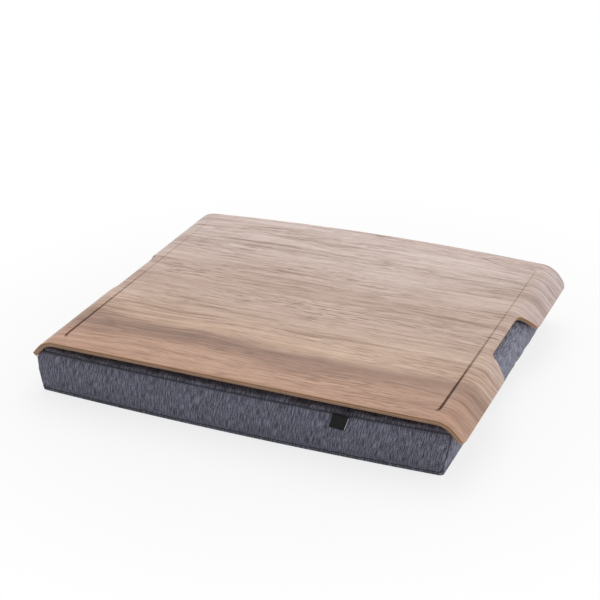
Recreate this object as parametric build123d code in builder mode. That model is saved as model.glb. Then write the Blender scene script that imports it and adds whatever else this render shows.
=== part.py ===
"""Cushioned lap tray: a form-pressed walnut plywood tray held by hook-and-loop on a bead-filled box cushion.

Frame: millimetres, +X to the user's right, +Y away from the user, +Z up. The origin is on the surface that
the cushion rests on, under the middle of the tray.
"""

from build123d import *
from math import cos, pi, radians, sin, sqrt, tan
import os

os.makedirs("parts", exist_ok=True)

# Tray: a flat middle, with both short ends bent down to a lip
tray_top = 60.0
tray_depth = 366.0
rear_edge_bow = 16.0
flat_half_width = 201.2
bend_radius = 25.0
bend_angle = 48.0
lip_length = 14.0
front_corner_radius = 6.0
rear_corner_radius = 14.0

# Plies, from the top surface down
face_veneer_thickness = 0.9
upper_cross_ply_thickness = 0.9
core_ply_thickness = 1.6
lower_cross_ply_thickness = 0.9
backing_veneer_thickness = 0.7

# Hand notch in the middle of each lip
notch_inner_x = 210.4
notch_inner_length = 88.0
notch_mouth_length = 118.0
notch_inner_radius = 9.0
notch_mouth_radius = 9.0

# Pressed line that frames the middle of the tray on three sides
line_half_width = 198.7
line_front_margin = 14.0
line_rear_margin = 16.0
line_corner_radius = 9.0
side_line_width = 3.0
side_line_depth = 0.6
rear_line_width = 1.4
rear_line_depth = 0.3
line_hook_length = 4.0

# Cushion: a box cushion with a crown, drawn-in seams and bulging sides
top_shift = -1.5
base_shift = -8.8
base_flare = 0.7
wing_gap = 1.3
cushion_front_setback = 6.0
cushion_depth = 339.0
cushion_corner_radius = 5.0
lower_seam_height = 4.0
crown_height = 9.0
front_bow = 5.3
side_bow = 0.5
side_belly = 5.0
front_belly = 0.6
belly_lift = 0.75
crown_run = 30.0
under_run = 3.0
fabric_thickness = 1.2
seam_height = 1.2
seam_recess = 0.3
corner_seam_inset = 1.5
side_steps = 8
round_steps = 5

# Inner bag and its filling
bag_side_gap = 4.0
bag_thickness = 0.6
filling_gap = 0.3

# Hook-and-loop strips between the tray and the cushion
strip_length = 90.0
strip_width = 25.0
strip_spacing_x = 250.0
strip_spacing_y = 220.0
hook_strip_thickness = 1.2
loop_strip_thickness = 1.0

# Woven tag on the front seam
tag_center_x = 108.2
tag_width = 17.0
tag_height = 14.0
tag_thickness = 0.8
tag_gap = 0.3

# Zip in the rear panel
zip_length = 300.0
zip_slot_height = 9.4
zip_half_gap = 0.6
tape_height = 8.6
tape_thickness = 0.5
tape_fabric_gap = 0.3
chain_height = 2.2
chain_thickness = 1.4
tooth_pitch = 3.0
tooth_length = 1.4
tooth_height = 0.9
stop_length = 3.0
slider_length = 9.0
slider_height = 8.0
slider_plate = 0.9
slider_clearance = 0.3
slider_post_length = 3.0
slider_post_thickness = 0.6
slider_end_gap = 7.5
bridge_length = 7.0
bridge_width = 1.2
bridge_rise = 2.6
bridge_thickness = 0.7
puller_pin_radius = 0.55
puller_clearance = 0.3
puller_arm_width = 1.1
puller_arm_reach = 5.2
puller_width = 5.4
puller_length = 22.0
puller_thickness = 1.1
puller_hole_radius = 1.2

# Values worked out from the sizes above
front_edge_y = -tray_depth / 2
rear_edge_y = tray_depth / 2
lip_drop_angle = radians(bend_angle)
lip_x = flat_half_width + bend_radius * sin(lip_drop_angle) + lip_length * cos(lip_drop_angle)
upper_cross_top = face_veneer_thickness
core_top = upper_cross_top + upper_cross_ply_thickness
lower_cross_top = core_top + core_ply_thickness
backing_top = lower_cross_top + lower_cross_ply_thickness
sheet_thickness = backing_top + backing_veneer_thickness
tray_underside = tray_top - sheet_thickness
cushion_top = tray_underside - hook_strip_thickness - loop_strip_thickness
upper_seam_height = cushion_top - crown_height
inner_radius = bend_radius - sheet_thickness
bend_center_height = tray_top - bend_radius
lip_start_height = bend_center_height + inner_radius * cos(lip_drop_angle)
cushion_front_y = front_edge_y + cushion_front_setback
cushion_rear_y = cushion_front_y + cushion_depth
zip_height = (lower_seam_height + upper_seam_height) / 2
seam_span = upper_seam_height - lower_seam_height
bag_inset = fabric_thickness + bag_side_gap
filling_inset = bag_inset + bag_thickness + filling_gap
slider_travel = zip_length - 2 * stop_length - slider_length - 2 * slider_end_gap
outline_clear = 0.5
cutter_size = 2 * tray_depth


def finish(piece, label):
    """Labels one finished piece and writes its file."""
    piece.part.label = label
    export_step(piece.part, f"parts/{label}.step")


def wing_inner_x(height):
    """Gives where the inside of a bent end lies at one height: on its arc, or on its straight lip below."""
    if height > lip_start_height:
        return flat_half_width + sqrt(inner_radius**2 - (height - bend_center_height) ** 2)
    lip_drop = lip_start_height - height
    return flat_half_width + inner_radius * sin(lip_drop_angle) + lip_drop / tan(lip_drop_angle)


# The cushion's top fits between the bent ends, its middle a little to the left
cushion_half_width = wing_inner_x(upper_seam_height) - side_bow - wing_gap + top_shift


# Tray sheet
def ply_band(top_depth, thickness):
    """Draws one ply's cross-section in XZ, its upper face top_depth under the tray's top surface."""
    with BuildLine() as band:
        for depth in (top_depth, top_depth + thickness):
            height = tray_top - depth
            flat = Line((0, height), (flat_half_width, height))
            bend = JernArc(flat @ 1, (1, 0), bend_radius - depth, -bend_angle)
            lip = PolarLine(bend @ 1, lip_length, direction=bend % 1)
            if depth == top_depth:
                upper_end = lip @ 1
        Line(upper_end, lip @ 1)
        Line((0, tray_top - top_depth), (0, tray_top - top_depth - thickness))
    make_face(band.edges())
    mirror(about=Plane.YZ)


def rear_arc(half_width, inset):
    """Draws the bowed rear edge, moved inset to the front, as an arc over the width."""
    full_half_width = lip_x + outline_clear
    bow = rear_edge_bow * (half_width / full_half_width) ** 2
    end_y = rear_edge_y - inset - bow
    return ThreePointArc((half_width, end_y), (0, rear_edge_y - inset), (-half_width, end_y))


def tray_outline():
    """Draws the tray's plan outline: straight front edge, bowed rear edge and a hand notch in each end."""
    half_width = lip_x + outline_clear
    with BuildLine() as outline:
        rear = rear_arc(half_width, 0)
        Polyline(rear @ 1, (-half_width, front_edge_y), (half_width, front_edge_y), rear @ 0)
    make_face(outline.edges())
    front_corners = vertices().group_by(Axis.Y)[0]
    fillet(front_corners, front_corner_radius)
    rear_corners = vertices().group_by(Axis.Y)[-1]
    fillet(rear_corners, rear_corner_radius)
    for side in (-1, 1):
        with BuildLine() as notch:
            Polyline(
                (side * notch_inner_x, notch_inner_length / 2),
                (side * notch_inner_x, -notch_inner_length / 2),
                (side * half_width, -notch_mouth_length / 2),
                (side * half_width, notch_mouth_length / 2),
                close=True,
            )
        make_face(notch.edges(), mode=Mode.SUBTRACT)
    notch_inner = vertices().filter_by(lambda v: abs(abs(v.X) - notch_inner_x) < outline_clear)
    fillet(notch_inner, notch_inner_radius)
    notch_mouth = vertices().filter_by(
        lambda v: abs(abs(v.X) - half_width) < outline_clear and abs(v.Y) < notch_mouth_length
    )
    fillet(notch_mouth, notch_mouth_radius)


def pressed_line(width):
    """Draws the band of one pressed line: the frame outline widened and narrowed by half the width."""
    for grow, mode in ((width / 2, Mode.ADD), (-width / 2, Mode.SUBTRACT)):
        with BuildSketch(mode=Mode.PRIVATE) as frame_outline:
            with BuildLine() as edge:
                rear = rear_arc(line_half_width + grow, line_rear_margin - grow)
                front_y = front_edge_y + line_front_margin - grow
                right = (line_half_width + grow, front_y)
                left = (-line_half_width - grow, front_y)
                Polyline(rear @ 1, left, right, rear @ 0)
            make_face(edge.edges())
            fillet(frame_outline.vertices(), line_corner_radius + grow)
        add(frame_outline.sketch, mode=mode)


def keep_box(center_x, center_y, size_x, size_y):
    """Keeps only what of the sketch lies in one rectangle."""
    with Locations((center_x, center_y)):
        Rectangle(size_x, size_y, mode=Mode.INTERSECT)


plies = (
    ("face_veneer", 0.0, face_veneer_thickness),
    ("upper_cross_ply", upper_cross_top, upper_cross_ply_thickness),
    ("core_ply", core_top, core_ply_thickness),
    ("lower_cross_ply", lower_cross_top, lower_cross_ply_thickness),
    ("backing_veneer", backing_top, backing_veneer_thickness),
)
rear_line_y = rear_edge_y - line_rear_margin
for ply_name, ply_top, ply_thickness in plies:
    with BuildPart() as ply:
        with BuildSketch(Plane.XZ):
            ply_band(ply_top, ply_thickness)
        extrude(amount=tray_depth, both=True)
        with BuildSketch(Plane.XY):
            tray_outline()
        extrude(amount=tray_top + outline_clear, mode=Mode.INTERSECT)
        if ply_name == "face_veneer":
            for side in (-1, 1):
                with BuildSketch(Plane.XY.offset(tray_top - side_line_depth)):
                    pressed_line(side_line_width)
                    reach = line_hook_length + side_line_width
                    keep_box(side * (line_half_width - line_hook_length + reach / 2), 0, reach, cutter_size)
                extrude(amount=side_line_depth + outline_clear, mode=Mode.SUBTRACT)
            with BuildSketch(Plane.XY.offset(tray_top - rear_line_depth)):
                pressed_line(rear_line_width)
                keep_box(0, rear_line_y, 2 * (line_half_width - line_hook_length), tray_depth / 2)
            extrude(amount=rear_line_depth + outline_clear, mode=Mode.SUBTRACT)
    finish(ply, ply_name)


# Cushion envelope
def seam_fraction(height):
    """Gives how far down a height lies between the seams: 0 at the upper seam, 1 at the lower one."""
    return min(1.0, max(0.0, (upper_seam_height - height) / seam_span))


def middle_shift(height):
    """Gives where the middle of the cushion's width lies at one height: the cushion leans to the left."""
    return top_shift + (base_shift - top_shift) * seam_fraction(height)


def belly_share(height):
    """Gives the share of the full belly at one height: none at the seams, most in the upper third."""
    return sin(pi * seam_fraction(height) ** belly_lift)


def turn_in(height, cap_inset):
    """Gives how far the crown or the base has run in at one height, each as a quarter ellipse."""
    if height > upper_seam_height:
        rise = (height - upper_seam_height) / (cushion_top - cap_inset - upper_seam_height)
        return crown_run * (1 - sqrt(max(0.0, 1 - rise**2)))
    if height < lower_seam_height:
        fall = (lower_seam_height - height) / (lower_seam_height - cap_inset)
        return under_run * (1 - sqrt(max(0.0, 1 - fall**2)))
    return 0.0


def rear_wall_y(height):
    """Gives where the outer face of the rear panel lies at one height."""
    return cushion_rear_y + front_belly * belly_share(height)


def front_wall_y(x, height):
    """Gives where the outer face of the front panel lies at one place."""
    bow = front_bow * (1 - ((x - middle_shift(height)) / cushion_half_width) ** 2)
    return cushion_front_y - front_belly * belly_share(height) - bow


def cushion_section(height, inset, cap_inset):
    """Draws the cushion's plan outline at one height, inset from the outer surface of the cover."""
    shrink = inset + turn_in(height, cap_inset)
    flare = base_flare * seam_fraction(height)
    half_width = cushion_half_width - shrink + flare + side_belly * belly_share(height)
    front = cushion_front_y + shrink - front_belly * belly_share(height)
    rear = rear_wall_y(height) - shrink
    middle_x = middle_shift(height)
    middle_y = (front + rear) / 2
    with BuildLine() as outline:
        right_front = (middle_x + half_width, front)
        right_rear = (middle_x + half_width, rear)
        left_rear = (middle_x - half_width, rear)
        left_front = (middle_x - half_width, front)
        ThreePointArc(left_front, (middle_x, front - front_bow), right_front)
        ThreePointArc(right_front, (middle_x + half_width + side_bow, middle_y), right_rear)
        Line(right_rear, left_rear)
        ThreePointArc(left_rear, (middle_x - half_width - side_bow, middle_y), left_front)
    make_face(outline.edges())
    fillet(vertices(), cushion_corner_radius)


def section_heights(cap_inset):
    """Lists the heights of the cushion's sections, closer together where the surface turns."""
    base = cap_inset
    top = cushion_top - cap_inset
    heights = []
    for step in range(round_steps):
        heights.append(lower_seam_height - (lower_seam_height - base) * cos(pi / 2 * step / round_steps))
    for step in range(side_steps):
        heights.append(lower_seam_height + seam_span * step / side_steps)
    for step in range(round_steps + 1):
        heights.append(upper_seam_height + (top - upper_seam_height) * sin(pi / 2 * step / round_steps))
    return heights


def cushion_solid(inset, cap_inset):
    """Lofts the closed cushion shape through its sections."""
    sections = []
    for height in section_heights(cap_inset):
        with BuildSketch(Plane.XY.offset(height)) as section:
            cushion_section(height, inset, cap_inset)
        sections.append(section.sketch)
    return loft(sections, ruled=True, mode=Mode.PRIVATE)


with BuildPart() as cover_shell:
    add(cushion_solid(0, 0))
    add(cushion_solid(fabric_thickness, fabric_thickness), mode=Mode.SUBTRACT)

with BuildPart() as seam_shell:
    add(cushion_solid(seam_recess, seam_recess))
    add(cushion_solid(fabric_thickness, fabric_thickness), mode=Mode.SUBTRACT)

with BuildPart() as inner_bag:
    add(cushion_solid(bag_inset, fabric_thickness))
    add(cushion_solid(bag_inset + bag_thickness, fabric_thickness + bag_thickness), mode=Mode.SUBTRACT)
finish(inner_bag, "inner_bag")

with BuildPart() as bead_filling:
    add(cushion_solid(filling_inset, fabric_thickness + bag_thickness))
finish(bead_filling, "bead_filling")


# Cover panels and the sewn seams between them
def keep_heights(low, high):
    """Keeps only what of the part lies between two heights."""
    with Locations((0, 0, (low + high) / 2)):
        Box(cutter_size, cutter_size, high - low, mode=Mode.INTERSECT)


def corner_cutter(grow):
    """Draws the front or rear panel in XZ, leaning with the cushion, its side edges moved out by grow."""
    edge_x = cushion_half_width - corner_seam_inset + grow
    with BuildLine() as outline:
        Polyline(
            (top_shift - edge_x, upper_seam_height),
            (base_shift - base_flare - edge_x, lower_seam_height),
            (base_shift + base_flare + edge_x, lower_seam_height),
            (top_shift + edge_x, upper_seam_height),
            close=True,
        )
    make_face(outline.edges())


def side_keeper(side):
    """Draws everything to one side of the corner seams in XZ."""
    with Locations((side * cutter_size / 2, 0)):
        Rectangle(cutter_size, cutter_size)
    with BuildSketch(Plane.XZ, mode=Mode.PRIVATE) as middle:
        corner_cutter(seam_height / 2)
    add(middle.sketch_local, mode=Mode.SUBTRACT)


wall_low = lower_seam_height + seam_height / 2
wall_high = upper_seam_height - seam_height / 2

with BuildPart() as cover_top_panel:
    add(cover_shell.part)
    keep_heights(upper_seam_height + seam_height / 2, cutter_size)
finish(cover_top_panel, "cover_top_panel")

with BuildPart() as cover_bottom_panel:
    add(cover_shell.part)
    keep_heights(-cutter_size, lower_seam_height - seam_height / 2)
finish(cover_bottom_panel, "cover_bottom_panel")

with BuildPart() as cover_front_panel:
    add(cover_shell.part)
    keep_heights(wall_low, wall_high)
    with BuildSketch(Plane.XZ):
        corner_cutter(-seam_height / 2)
    extrude(amount=cutter_size, mode=Mode.INTERSECT)
finish(cover_front_panel, "cover_front_panel")

for side, side_name in ((-1, "left"), (1, "right")):
    with BuildPart() as cover_side_panel:
        add(cover_shell.part)
        keep_heights(wall_low, wall_high)
        with BuildSketch(Plane.XZ):
            side_keeper(side)
        extrude(amount=cutter_size, both=True, mode=Mode.INTERSECT)
    finish(cover_side_panel, f"cover_{side_name}_panel")

rear_panels = (
    ("cover_rear_panel_upper", zip_height, wall_high),
    ("cover_rear_panel_lower", wall_low, zip_height),
)
for panel_name, panel_low, panel_high in rear_panels:
    with BuildPart() as cover_rear_panel:
        add(cover_shell.part)
        keep_heights(panel_low, panel_high)
        with BuildSketch(Plane.XZ):
            corner_cutter(-seam_height / 2)
        extrude(amount=-cutter_size, mode=Mode.INTERSECT)
        with Locations((0, cushion_rear_y, zip_height)):
            Box(zip_length, cushion_corner_radius, zip_slot_height, mode=Mode.SUBTRACT)
    finish(cover_rear_panel, panel_name)

for seam_name, seam_center in (("upper_seam", upper_seam_height), ("lower_seam", lower_seam_height)):
    with BuildPart() as seam:
        add(seam_shell.part)
        keep_heights(seam_center - seam_height / 2, seam_center + seam_height / 2)
    finish(seam, seam_name)

with BuildPart() as corner_seams:
    add(seam_shell.part)
    keep_heights(wall_low, wall_high)
    with BuildSketch(Plane.XZ):
        corner_cutter(seam_height / 2)
        with BuildSketch(Plane.XZ, mode=Mode.PRIVATE) as between_seams:
            corner_cutter(-seam_height / 2)
        add(between_seams.sketch_local, mode=Mode.SUBTRACT)
    extrude(amount=cutter_size, both=True, mode=Mode.INTERSECT)
finish(corner_seams, "corner_seams")

# Hook strips stuck under the tray, loop strips sewn on the cushion
strip_places = GridLocations(strip_spacing_x, strip_spacing_y, 2, 2)
with BuildPart() as hook_strips:
    with BuildSketch(Plane.XY.offset(tray_underside)):
        with strip_places:
            Rectangle(strip_length, strip_width)
    extrude(amount=-hook_strip_thickness)
finish(hook_strips, "hook_strips")

with BuildPart() as loop_strips:
    with BuildSketch(Plane.XY.offset(cushion_top)):
        with strip_places:
            Rectangle(strip_length, strip_width)
    extrude(amount=loop_strip_thickness)
finish(loop_strips, "loop_strips")

# Woven tag: hangs on the front panel, its upper edge folded back to the upper seam
tag_top = upper_seam_height + tag_thickness / 2
tag_bottom = tag_top - tag_height
tag_inner_x = tag_center_x - tag_width / 2
tag_back_y = front_wall_y(tag_inner_x, upper_seam_height) - front_belly - tag_gap
tag_seam_y = front_wall_y(tag_center_x + tag_width / 2, upper_seam_height) - tag_gap
with BuildPart() as woven_tag:
    with BuildSketch(Plane.YZ.offset(tag_inner_x)):
        with BuildLine():
            Polyline(
                (tag_back_y - tag_thickness, tag_bottom),
                (tag_back_y, tag_bottom),
                (tag_back_y, tag_top - tag_thickness),
                (tag_seam_y, tag_top - tag_thickness),
                (tag_seam_y, tag_top),
                (tag_back_y - tag_thickness, tag_top),
                close=True,
            )
        make_face()
    extrude(amount=tag_width)
finish(woven_tag, "woven_tag")

# Zip: flat tapes behind the rear panels, a toothed chain half on each, and stops at both ends
tape_low = zip_height - zip_half_gap - tape_height
tape_high = zip_height + zip_half_gap + tape_height
tape_outer_y = min(rear_wall_y(tape_low), rear_wall_y(tape_high)) - fabric_thickness - tape_fabric_gap
tape_inner_y = tape_outer_y - tape_thickness
chain_outer_y = tape_outer_y + chain_thickness
tooth_count = int((zip_length - 2 * stop_length) / tooth_pitch) - 1
for side, half_name in ((1, "upper"), (-1, "lower")):
    with BuildPart() as zip_tape:
        with BuildSketch(Plane.XZ.offset(-tape_inner_y)):
            with Locations((0, zip_height + side * (zip_half_gap + tape_height / 2))):
                Rectangle(zip_length, tape_height)
        extrude(amount=-tape_thickness)
    finish(zip_tape, f"zip_tape_{half_name}")

    cord_height = chain_height - tooth_height
    with BuildPart() as zip_chain:
        with BuildSketch(Plane.XZ.offset(-tape_outer_y)):
            with Locations((0, zip_height + side * (zip_half_gap + tooth_height + cord_height / 2))):
                Rectangle(zip_length - 2 * stop_length, cord_height)
            with Locations((0, zip_height + side * (zip_half_gap + tooth_height / 2))):
                with GridLocations(tooth_pitch, 0, tooth_count, 1):
                    Rectangle(tooth_length, tooth_height)
        extrude(amount=-chain_thickness)
    finish(zip_chain, f"zip_chain_{half_name}")

with BuildPart() as zip_top_stops:
    with BuildSketch(Plane.XZ.offset(-tape_outer_y)):
        with Locations(((zip_length - stop_length) / 2, zip_height)):
            with GridLocations(0, 2 * zip_half_gap + chain_height, 1, 2):
                Rectangle(stop_length, chain_height)
    extrude(amount=-chain_thickness)
finish(zip_top_stops, "zip_top_stops")

with BuildPart() as zip_bottom_stop:
    with BuildSketch(Plane.XZ.offset(-tape_outer_y)):
        with Locations(((stop_length - zip_length) / 2, zip_height)):
            Rectangle(stop_length, 2 * (zip_half_gap + chain_height))
    extrude(amount=-chain_thickness)
finish(zip_bottom_stop, "zip_bottom_stop")

# Zip slider: two plates joined by a post between the chain halves, with a bridge for the puller
slider_x = slider_travel / 2
inner_plate_y = tape_inner_y - slider_clearance - slider_plate
outer_plate_y = chain_outer_y + slider_clearance
slider_face_y = outer_plate_y + slider_plate
pin_y = slider_face_y + puller_clearance + puller_pin_radius
with BuildPart() as zip_slider:
    for plate_y in (inner_plate_y, outer_plate_y):
        with BuildSketch(Plane.XZ.offset(-plate_y)):
            with Locations((slider_x, zip_height)):
                RectangleRounded(slider_length, slider_height, slider_height / 4)
        extrude(amount=-slider_plate)
    with BuildSketch(Plane.XZ.offset(-inner_plate_y)):
        with Locations((slider_x - (slider_length - slider_post_length) / 2 + slider_plate, zip_height)):
            Rectangle(slider_post_length, slider_post_thickness)
    extrude(amount=inner_plate_y - slider_face_y)
    with BuildSketch(Plane.XY.offset(zip_height - bridge_width / 2)):
        with Locations((slider_x, slider_face_y + bridge_rise / 2)):
            Rectangle(bridge_length, bridge_rise)
        with Locations((slider_x, slider_face_y + (bridge_rise - bridge_thickness) / 2)):
            gap_length = bridge_length - 2 * bridge_thickness
            Rectangle(gap_length, bridge_rise - bridge_thickness, mode=Mode.SUBTRACT)
    extrude(amount=bridge_width)
finish(zip_slider, "zip_slider")

# Zip puller: a pin under the bridge, two arms and a tab with a hole
arm_center = bridge_width / 2 + puller_clearance + puller_arm_width / 2
pin_length = 2 * arm_center + puller_arm_width
with BuildPart() as zip_puller:
    with BuildSketch(Plane.XY.offset(zip_height - pin_length / 2)):
        with Locations((slider_x, pin_y)):
            Circle(puller_pin_radius)
    extrude(amount=pin_length)
    with BuildSketch(Plane.XZ.offset(-pin_y)):
        with Locations((slider_x - puller_arm_reach / 2, zip_height)):
            with GridLocations(0, 2 * arm_center, 1, 2):
                Rectangle(puller_arm_reach, puller_arm_width)
        with Locations((slider_x - puller_arm_reach - (puller_length - puller_arm_reach) / 2, zip_height)):
            RectangleRounded(puller_length - puller_arm_reach, puller_width, puller_width / 4)
        with Locations((slider_x - puller_length + 2 * puller_hole_radius, zip_height)):
            Circle(puller_hole_radius, mode=Mode.SUBTRACT)
    extrude(amount=puller_thickness / 2, both=True)
finish(zip_puller, "zip_puller")

print("tray", 2 * lip_x, "x", tray_depth, "x", tray_top, "sheet", sheet_thickness)
print("cushion half width", cushion_half_width, "top", cushion_top)
print("front", cushion_front_y, "rear", cushion_rear_y)
print("zip at height", zip_height, "slider at", slider_x, "pin at y", pin_y)
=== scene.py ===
# %% [markdown]
# # A cushioned lap tray
#
# The object is a bent walnut plywood sheet that lies on a bead-filled box cushion. Its CAD model
# gives every piece a place and a size. This notebook loads that model as a fixed frame, and
# dresses it: each step first says what a piece is on the real object, how it could be made, and
# why the way below was chosen.

# %% Load the fixed frame
import bmesh
import bpy
import numpy as np
from mathutils import Matrix, Vector


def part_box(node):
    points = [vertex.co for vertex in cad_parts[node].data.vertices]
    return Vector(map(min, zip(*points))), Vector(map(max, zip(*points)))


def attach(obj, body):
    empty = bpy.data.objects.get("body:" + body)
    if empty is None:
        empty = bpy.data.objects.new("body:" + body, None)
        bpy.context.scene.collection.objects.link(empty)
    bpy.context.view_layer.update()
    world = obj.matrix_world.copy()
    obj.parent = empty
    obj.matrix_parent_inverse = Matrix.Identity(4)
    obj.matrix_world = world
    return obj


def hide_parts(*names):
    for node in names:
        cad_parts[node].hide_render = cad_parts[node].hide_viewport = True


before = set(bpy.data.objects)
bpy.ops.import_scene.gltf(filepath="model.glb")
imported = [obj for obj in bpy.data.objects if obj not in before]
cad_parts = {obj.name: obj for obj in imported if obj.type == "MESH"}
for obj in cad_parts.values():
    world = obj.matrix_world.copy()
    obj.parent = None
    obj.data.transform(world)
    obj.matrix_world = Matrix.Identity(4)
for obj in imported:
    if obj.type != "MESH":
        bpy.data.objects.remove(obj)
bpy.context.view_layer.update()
MM = 0.001

# %% [markdown]
# ## Camera
#
# A camera could be turned by eye until the picture agrees. Here its place, aim, roll and lens come
# from a fit to straight edges of known length, so the tray's corners land on the right pixels
# without any lens shift.

# %% Camera
CAMERA_PLACE = Vector((0.55375, -1.2175, 0.7190))
CAMERA_AIM = Vector((0.01615, -0.0629, 0.0911))
CAMERA_ROLL = np.radians(-1.664)
LENS_MM = 85.4
NEAREST, FARTHEST = 0.05, 60.0


def link_object(name, data):
    """Puts an object with its data into the scene."""
    made = bpy.data.objects.new(name, data)
    bpy.context.scene.collection.objects.link(made)
    return made


def looking(place, aim):
    """The matrix of a lamp or camera that stands at a place and looks at a point."""
    direction = Vector(aim) - Vector(place)
    return Matrix.Translation(place) @ direction.to_track_quat("-Z", "Y").to_matrix().to_4x4()


def add_camera():
    """Aims a camera from its place at a point, then rolls it about its own line of sight."""
    camera = link_object("camera", bpy.data.cameras.new("camera"))
    camera.matrix_world = looking(CAMERA_PLACE, CAMERA_AIM) @ Matrix.Rotation(CAMERA_ROLL, 4, "Z")
    camera.data.lens = LENS_MM
    camera.data.clip_start, camera.data.clip_end = NEAREST, FARTHEST
    bpy.context.scene.camera = camera


add_camera()
print("camera at", tuple(CAMERA_PLACE))

# %% [markdown]
# ## Node helpers
#
# A material is a small graph of nodes. Typing each node and link by hand takes many lines and
# hides the sums that they stand for. Here a node's output is kept as a Value, and adding,
# subtracting or multiplying Values adds the Math nodes that do the same. The other helpers each
# add one node, or a usual group of nodes.

# %% Node helpers


class Value:
    """A node's output. Plus, minus and times on it add a Math node and give its output."""

    def __init__(self, socket):
        self.socket = socket
        self.tree = socket.id_data

    def math(self, operation, other=0.0, clamp=False):
        """The output of a Math node whose first input is this value."""
        inputs = {0: self, 1: other}
        return output(self.tree, "Math", 0, inputs, operation=operation, use_clamp=clamp)

    def __add__(self, other):
        return self.math("ADD", other)

    def __sub__(self, other):
        return self.math("SUBTRACT", other)

    def __rsub__(self, other):
        return output(self.tree, "Math", 0, {0: other, 1: self}, operation="SUBTRACT")

    def __mul__(self, other):
        return self.math("MULTIPLY", other)


def feed(target, inputs):
    """Fills a node's inputs, by name or number, from numbers, from colours or from Values."""
    for name, value in inputs.items():
        if isinstance(value, Value):
            value.tree.links.new(value.socket, target.inputs[name])
        elif isinstance(value, tuple) and target.inputs[name].type == "RGBA":
            target.inputs[name].default_value = (*value, 1.0)
        else:
            target.inputs[name].default_value = value


def add_node(tree, kind, inputs=None, **settings):
    """Adds a node, sets its own settings and fills its inputs."""
    made = tree.nodes.new("ShaderNode" + kind)
    for name, value in settings.items():
        setattr(made, name, value)
    feed(made, inputs or {})
    return made


def output(tree, kind, which, inputs=None, **settings):
    """Adds a node, and gives one of its outputs."""
    return Value(add_node(tree, kind, inputs, **settings).outputs[which])


def new_material(name, layer=None):
    """Makes a material; gives its shader too, and the places of a layer or in Object space."""
    material = bpy.data.materials.new(name)
    material.use_nodes = True
    tree = material.node_tree
    if layer:
        place = output(tree, "UVMap", 0, uv_map=layer)
    else:
        place = output(tree, "TexCoord", "Object")
    return material, tree.nodes["Principled BSDF"], place


def mark(tree, name):
    """A number that the mesh holds at each of its points."""
    return output(tree, "Attribute", "Fac", attribute_name=name)


def part(place, axis):
    """One coordinate of a place."""
    return output(place.tree, "SeparateXYZ", axis, {"Vector": place})


def noise(place, stretch, detail=3.0, rough=0.5):
    """Noise over a place in metres; stretch is how many features a metre holds along each axis."""
    mapped = output(place.tree, "Mapping", 0, {"Vector": place, "Scale": stretch})
    inputs = {"Vector": mapped, "Scale": 1.0, "Detail": detail, "Roughness": rough}
    return output(place.tree, "TexNoise", "Fac", inputs)


def between(value, low, high, to_low=0.0, to_high=1.0, smooth=False):
    """Maps a value from one range to another, clamped, along a line or an S curve."""
    kind = "SMOOTHSTEP" if smooth else "LINEAR"
    inputs = {"Value": value, "From Min": low, "From Max": high,
              "To Min": to_low, "To Max": to_high}
    return output(value.tree, "MapRange", "Result", inputs, interpolation_type=kind)


def ramp(value, *stops):
    """Colours a value by stops of (place, colour)."""
    made = add_node(value.tree, "ValToRGB", {"Fac": value})
    elements = made.color_ramp.elements
    while len(elements) < len(stops):
        elements.new(0.5)
    for element, (place, colour) in zip(elements, stops):
        element.position = place
        element.color = (*colour, 1.0)
    return Value(made.outputs["Color"])


def blend(share, first, second, kind="MIX"):
    """Mixes two colours by a share."""
    tree = next(value.tree for value in (share, first, second) if isinstance(value, Value))
    settings = {"data_type": "RGBA", "blend_type": kind, "clamp_factor": True}
    return output(tree, "Mix", 2, {"Factor": share, 6: first, 7: second}, **settings)


def waves(place, axis, pitch):
    """A sine wave along one axis."""
    return (part(place, axis) * float(2 * np.pi / pitch)).math("SINE")


def bump(height, distance, strength=1.0):
    """A normal that stands for a height in metres times distance."""
    inputs = {"Height": height, "Distance": distance, "Strength": strength}
    return output(height.tree, "Bump", "Normal", inputs)


def grey(value):
    """A grey colour."""
    return (value, value, value)


# %% [markdown]
# ## Floor and light
#
# The photo is a bright studio picture: white ground, wide soft light from above and behind, a
# darker front, and only a faint cool shadow. A strong lamp would bleach the wood, so the sky and
# the lamps together light a level surface at about the strength at which its colour renders as
# written. For the camera the ground glows white by itself and takes only a small share of the
# shadow, which fades out away from the tray, while to bounced light it is a plain grey.

# %% Floor and light
FLOOR_SIZE = 24.0
FLOOR_BOUNCE, FLOOR_SEEN = grey(0.9), (1.0, 0.97, 0.92)
SHADOW_SHARE, SHADOW_REACH = 0.22, (0.24, 0.5)
WHITE, SKY_COLOUR = grey(1.0), (0.90, 0.95, 1.0)
SKY_SIDE, SKY_REACH, SKY_FRONT, SKY_BACK = (0.2, 0.85, 0.3), 0.8, 0.04, 1.0


def seen_directly(tree):
    """1 for rays from the camera and for those that a gloss or a clear body passes on, else 0."""
    camera, glossy, clear = (output(tree, "LightPath", f"Is {kind} Ray")
                             for kind in ("Camera", "Glossy", "Transmission"))
    return camera.math("MAXIMUM", glossy).math("MAXIMUM", clear)


def mixed(share, first, second):
    """Mixes two shaders or two backgrounds by a share."""
    return output(share.tree, "MixShader", 0, {"Fac": share, 1: first, 2: second})


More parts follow.
